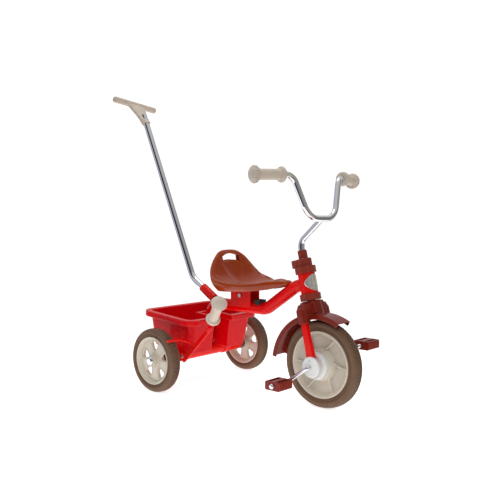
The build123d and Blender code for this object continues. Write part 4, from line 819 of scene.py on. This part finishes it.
def crown_shoulder(hand):
    """One rounded shoulder of the crown cover: from the column, over the fork's crown and down the leg."""
    fore_way = Vector((STEER.z, 0, -STEER.x))
    across = Vector((0, hand, 0))
    rings = []
    for i, (y, height, half_length, half_depth) in enumerate(SHOULDER):
        before = SHOULDER[max(i - 1, 0)]
        after = SHOULDER[min(i + 1, len(SHOULDER) - 1)]
        run = (across * (after[0] - before[0]) + STEER * (after[1] - before[1])).normalized()
        depth_way = run.cross(fore_way).normalized()
        centre = FRONT + (across * y + STEER * height) * MM
        ring = []
        for k in range(SHOULDER_STEPS):
            turn = 2 * pi * k / SHOULDER_STEPS
            u, v = (copysign(abs(part) ** SHOULDER_SQUARE, part) for part in (cos(turn), sin(turn)))
            ring.append(centre + (fore_way * u * half_length + depth_way * v * half_depth) * MM)
        rings.append(ring)
    return skin(f"crown_shoulder_{hand}", rings, caps=True)


crown_column = lathe("crown_column", COLUMN, FRONT, STEER, 64)
moulding("front_fender", "steering", maroon_plastic, 0.9, 9, 0.5,
         extras=[crown_column, crown_shoulder(-1), crown_shoulder(1)])
moulding("push_grip", "push_handle", grip_plastic, 0.8, 12, 0.5)
moulding("pedal_right", "pedal_right_turning", maroon_plastic, 0.7, 3, 0.5)
moulding("pedal_left", "pedal_left_turning", maroon_plastic, 0.7, 3, 0.5)
moulding("bucket", "frame", red_plastic, 1.5, 12, 0.35)

# ---------------------------------------------------------------- ribs, dots and badge rings
PEDAL_RIBS = 11
RIB_MARGIN = 4              # from a rib's ends to the pedal's edges
RIB_SUNK = (1.0, 1.3)       # depth and half width inside the pedal's face
RIB_PROUD = (0.9, 0.7)      # height and half width outside it
BOX_FACES = ((0, 1, 2, 3), (4, 5, 6, 7), (0, 1, 5, 4), (1, 2, 6, 5), (2, 3, 7, 6), (3, 0, 4, 7))


def pedal_ribs(side):
    """Upright tread ribs along both long faces of a pedal."""
    low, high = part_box(f"pedal_{side}")
    z0 = low.z + RIB_MARGIN * MM
    z1 = high.z - RIB_MARGIN * MM
    points = []
    faces = []
    for face, out in ((low.x, -1), (high.x, 1)):
        for k in range(PEDAL_RIBS):
            y = low.y + (high.y - low.y) * (k + 0.5) / PEDAL_RIBS
            start = len(points)
            for reach, half in ((-RIB_SUNK[0], RIB_SUNK[1] * MM), (RIB_PROUD[0], RIB_PROUD[1] * MM)):
                x = face + out * reach * MM
                points += [(x, y - half, z0), (x, y + half, z0), (x, y + half, z1), (x, y - half, z1)]
            faces += [tuple(start + i for i in quad) for quad in BOX_FACES]
    piece = mesh_piece(f"pedal_{side}_ribs", points, faces)
    finish_mesh(piece, f"pedal_{side}_turning", maroon_plastic)


pedal_ribs("right")
pedal_ribs("left")


def surface_of(node):
    """A ray-casting tree of a CAD node's surface."""
    mesh = frame["nodes"][node].data
    return BVHTree.FromPolygons([v.co for v in mesh.vertices], [tuple(f.vertices) for f in mesh.polygons])


RAY_START = 60              # outside any grip or badge
DOT_SIDES = 8
DOT_CENTRE = 0.35           # a dot's middle and edge above the surface, and its foot below
DOT_EDGE = 0.12
DOT_FOOT = -0.8


def dots(node, way, body, rows, radius):
    """Small dark dots of painted shade that stand for the pits of a turned grip: rows of (distance from the tip,
    count), round the axis along way.
    """
    along = [v.co.dot(way) for v in frame["nodes"][node].data.vertices]
    centre = middle(node)
    centre = centre + way * ((max(along) + min(along)) / 2 - centre.dot(way))
    tip = centre + way * ((max(along) - min(along)) / 2)
    tree = surface_of(node)
    first, second = side_axes(way)
    points = []
    faces = []
    for row, (depth, count) in enumerate(rows):
        for k in range(count):
            turn = 2 * pi * (k + 0.5 * (row % 2)) / count
            out = first * cos(turn) + second * sin(turn)
            hit, normal = tree.ray_cast(tip - way * depth * MM + out * RAY_START * MM, -out)[:2]
            if hit is None:
                continue
            if normal.dot(out) < 0:
                normal = -normal
            right, up = side_axes(normal)
            base = len(points)
            points.append(hit + normal * DOT_CENTRE * MM)
            for level in (DOT_EDGE, DOT_FOOT):
                for i in range(DOT_SIDES):
                    a = 2 * pi * i / DOT_SIDES
                    points.append(hit + (right * cos(a) + up * sin(a)) * radius * MM + normal * level * MM)
            edge = base + 1
            foot = edge + DOT_SIDES
            for i in range(DOT_SIDES):
                n = (i + 1) % DOT_SIDES
                faces.append((base, edge + i, edge + n))
                faces.append((edge + i, foot + i, foot + n, edge + n))
            faces.append(tuple(foot + i for i in range(DOT_SIDES)))
    piece = mesh_piece(f"{node}_pits", points, faces)
    finish_mesh(piece, body, pit_painted_shade, crease=50)


BAR_WAY = Vector((-32.5, 125.0, -3.5)).normalized()
BRAKE_WAY = Vector((0.666, -0.376, 0.643)).normalized()
CAP_ROWS = [(10.5, 15), (14.5, 16), (18.5, 15)]
BRAKE_ROWS = [(12, 13), (16, 14), (20, 13)]
dots("grip_left", BAR_WAY, "steering", CAP_ROWS, 1.25)
dots("grip_right", Vector((BAR_WAY.x, -BAR_WAY.y, BAR_WAY.z)), "steering", CAP_ROWS, 1.25)
dots("brake_grip", BRAKE_WAY, "parking_brake", BRAKE_ROWS, 1.1)

BADGE_RINGS = (("outer", 20.5, 0.9), ("inner", 12.5, 0.7), ("boss", 4.0, 2.0))      # (name, radius, half width)
BADGE_STEPS = 64
BADGE_SIDES = 8
BADGE_FLATNESS = 0.6


def badge_rings():
    """Two plain raised rings and a centre boss on the head badge."""
    rake = atan2(-STEER.x, STEER.z)
    facing = Vector((cos(rake), 0, sin(rake)))
    across = Vector((0, 1, 0))
    up = facing.cross(across)
    centre = middle("head_badge")
    tree = surface_of("head_badge")
    for name, radius, thick in BADGE_RINGS:
        rings = []
        for k in range(BADGE_STEPS):
            turn = 2 * pi * k / BADGE_STEPS
            spoke = across * cos(turn) + up * sin(turn)
            start = centre + spoke * radius * MM + facing * RAY_START * MM
            spot = tree.ray_cast(start, -facing)[0]
            if spot is None:
                spot = start - facing * RAY_START * MM
            out = spoke.normalized()
            ring = []
            for i in range(BADGE_SIDES):
                a = 2 * pi * i / BADGE_SIDES
                ring.append(spot + (out * cos(a) + facing * sin(a) * BADGE_FLATNESS) * thick * MM)
            rings.append(ring)
        finish_mesh(skin(f"head_badge_{name}", rings, wrap=True), "frame", badge_metal)


badge_rings()

for node, width in EDGE_WIDTHS.items():
    break_edges(node, width)

# ---------------------------------------------------------------- stage, light and camera
AZIMUTH = 41.97             # degrees to the right of straight behind -Y, and up
ELEVATION = 2.88
DISTANCE = 2.0404
LENS = 47.43
SENSOR = 36
TARGET = ahead(208.1, 0, 439.3)
CAMERA_BEARING = AZIMUTH - 90       # degrees from +X, seen from the tricycle
FLOOR_HALF = 0.85
FLOOR_GLOW = 0.74

# colour of the surroundings, by degrees to the right of the camera as it faces the tricycle
BANDS = [(-180, (1.0, 1.0, 1.0)), (-118, (1.0, 1.0, 1.0)), (-112, (0.50, 0.62, 0.90)), (-88, (0.55, 0.66, 0.92)),
         (-84, (1.0, 1.0, 1.0)), (-64, (0.9, 0.9, 0.9)), (-60, (0.02, 0.02, 0.03)), (-16, (0.05, 0.05, 0.07)),
         (-12, (0.50, 0.52, 0.62)), (-4, (0.40, 0.42, 0.48)), (0, (0.03, 0.03, 0.04)), (12, (0.05, 0.05, 0.06)),
         (16, (0.86, 0.82, 1.0)), (26, (0.80, 0.78, 0.95)), (32, (0.20, 0.22, 0.22)), (52, (0.28, 0.30, 0.28)),
         (60, (0.80, 0.72, 0.58)), (84, (0.70, 0.62, 0.50)), (90, (0.22, 0.22, 0.22)), (112, (0.35, 0.34, 0.32)),
         (118, (1.0, 1.0, 1.0)), (180, (1.0, 1.0, 1.0))]
WORLD_STRENGTH = 0.66
OVERHEAD = (0.55, 0.75)     # height on the unit sphere where the bands give way to plain white, and its level
OVERHEAD_LEVEL = 0.95
BACKDROP_LEVEL = 1.7        # level that the camera itself sees


def stage():
    """A pale floor under the tricycle that glows a little, so that it is nearly as bright as the backdrop."""
    size = FLOOR_HALF
    floor = mesh_piece("floor", [(-size, -size, 0), (size, -size, 0), (size, size, 0), (-size, size, 0)],
                       [(0, 1, 2, 3)])
    floor.data.materials.append(paint("studio_floor", (0.88, 0.88, 0.88), 0.8, variation=0.01, bump=0.0,
                                      glow=FLOOR_GLOW))


def area_light(name, place, target, size, power, mirrored_too=True):
    """A square soft light, which shiny surfaces mirror unless it is kept out of them."""
    light = bpy.data.lights.new(name, "AREA")
    light.size = size
    light.energy = power
    obj = bpy.data.objects.new(name, light)
    obj.location = place
    obj.rotation_euler = (Vector(target) - Vector(place)).to_track_quat("-Z", "Y").to_euler()
    obj.visible_glossy = mirrored_too
    bpy.context.collection.objects.link(obj)


def world():
    """White surroundings with upright dark and tinted bands, for the chrome to reflect."""
    surroundings = bpy.data.worlds.new("studio")
    bpy.context.scene.world = surroundings
    surroundings.use_nodes = True
    nodes = surroundings.node_tree.nodes
    links = surroundings.node_tree.links
    background = nodes["Background"]
    place = nodes.new("ShaderNodeTexCoord")
    turned = nodes.new("ShaderNodeVectorRotate")
    turned.rotation_type = "Z_AXIS"
    turned.inputs["Angle"].default_value = -radians(CAMERA_BEARING)
    links.new(place.outputs["Generated"], turned.inputs["Vector"])
    split = nodes.new("ShaderNodeSeparateXYZ")
    links.new(turned.outputs["Vector"], split.inputs[0])
    bearing = nodes.new("ShaderNodeMath")
    bearing.operation = "ARCTAN2"
    links.new(split.outputs["Y"], bearing.inputs[0])
    links.new(split.outputs["X"], bearing.inputs[1])
    remap = nodes.new("ShaderNodeMapRange")
    remap.inputs["From Min"].default_value = -pi
    remap.inputs["From Max"].default_value = pi
    links.new(bearing.outputs["Value"], remap.inputs["Value"])
    ramp = nodes.new("ShaderNodeValToRGB")
    elements = ramp.color_ramp.elements
    for element, (degree, colour) in zip((elements[0], elements[1]), (BANDS[0], BANDS[-1])):
        element.position = (degree + 180) / 360
        element.color = (*colour, 1)
    for degree, colour in BANDS[1:-1]:
        elements.new((degree + 180) / 360).color = (*colour, 1)
    links.new(remap.outputs["Result"], ramp.inputs["Fac"])
    above = nodes.new("ShaderNodeMapRange")
    above.inputs["From Min"].default_value, above.inputs["From Max"].default_value = OVERHEAD
    links.new(split.outputs["Z"], above.inputs["Value"])
    seen = nodes.new("ShaderNodeLightPath")
    colour = ramp.outputs["Color"]
    for factor, level in ((above.outputs["Result"], OVERHEAD_LEVEL),
                          (seen.outputs["Is Camera Ray"], BACKDROP_LEVEL)):
        mix = nodes.new("ShaderNodeMix")
        mix.data_type = "RGBA"
        mix.clamp_factor = True
        sockets = [socket for socket in mix.inputs if socket.type == "RGBA"]
        links.new(factor, mix.inputs["Factor"])
        links.new(colour, sockets[0])
        sockets[1].default_value = (level, level, level, 1)
        colour = [socket for socket in mix.outputs if socket.type == "RGBA"][0]
    links.new(colour, background.inputs["Color"])
    background.inputs["Strength"].default_value = WORLD_STRENGTH


def camera():
    """The photograph's view."""
    azimuth = radians(AZIMUTH)
    elevation = radians(ELEVATION)
    away = Vector((sin(azimuth) * cos(elevation), -cos(azimuth) * cos(elevation), sin(elevation)))
    obj = bpy.data.objects.new("camera", bpy.data.cameras.new("camera"))
    obj.data.lens = LENS
    obj.data.sensor_width = SENSOR
    obj.location = TARGET + away * DISTANCE
    obj.rotation_euler = away.to_track_quat("Z", "Y").to_euler()
    bpy.context.collection.objects.link(obj)
    bpy.context.scene.camera = obj


stage()
world()
area_light("key", (2.2, -2.6, 2.6), (0.1, 0, 0.4), 1.2, 34, mirrored_too=False)
area_light("top", (-0.4, 0.2, 3.2), (0, 0, 0.3), 1.6, 16)
camera()
bpy.context.scene.view_settings.view_transform = "Standard"
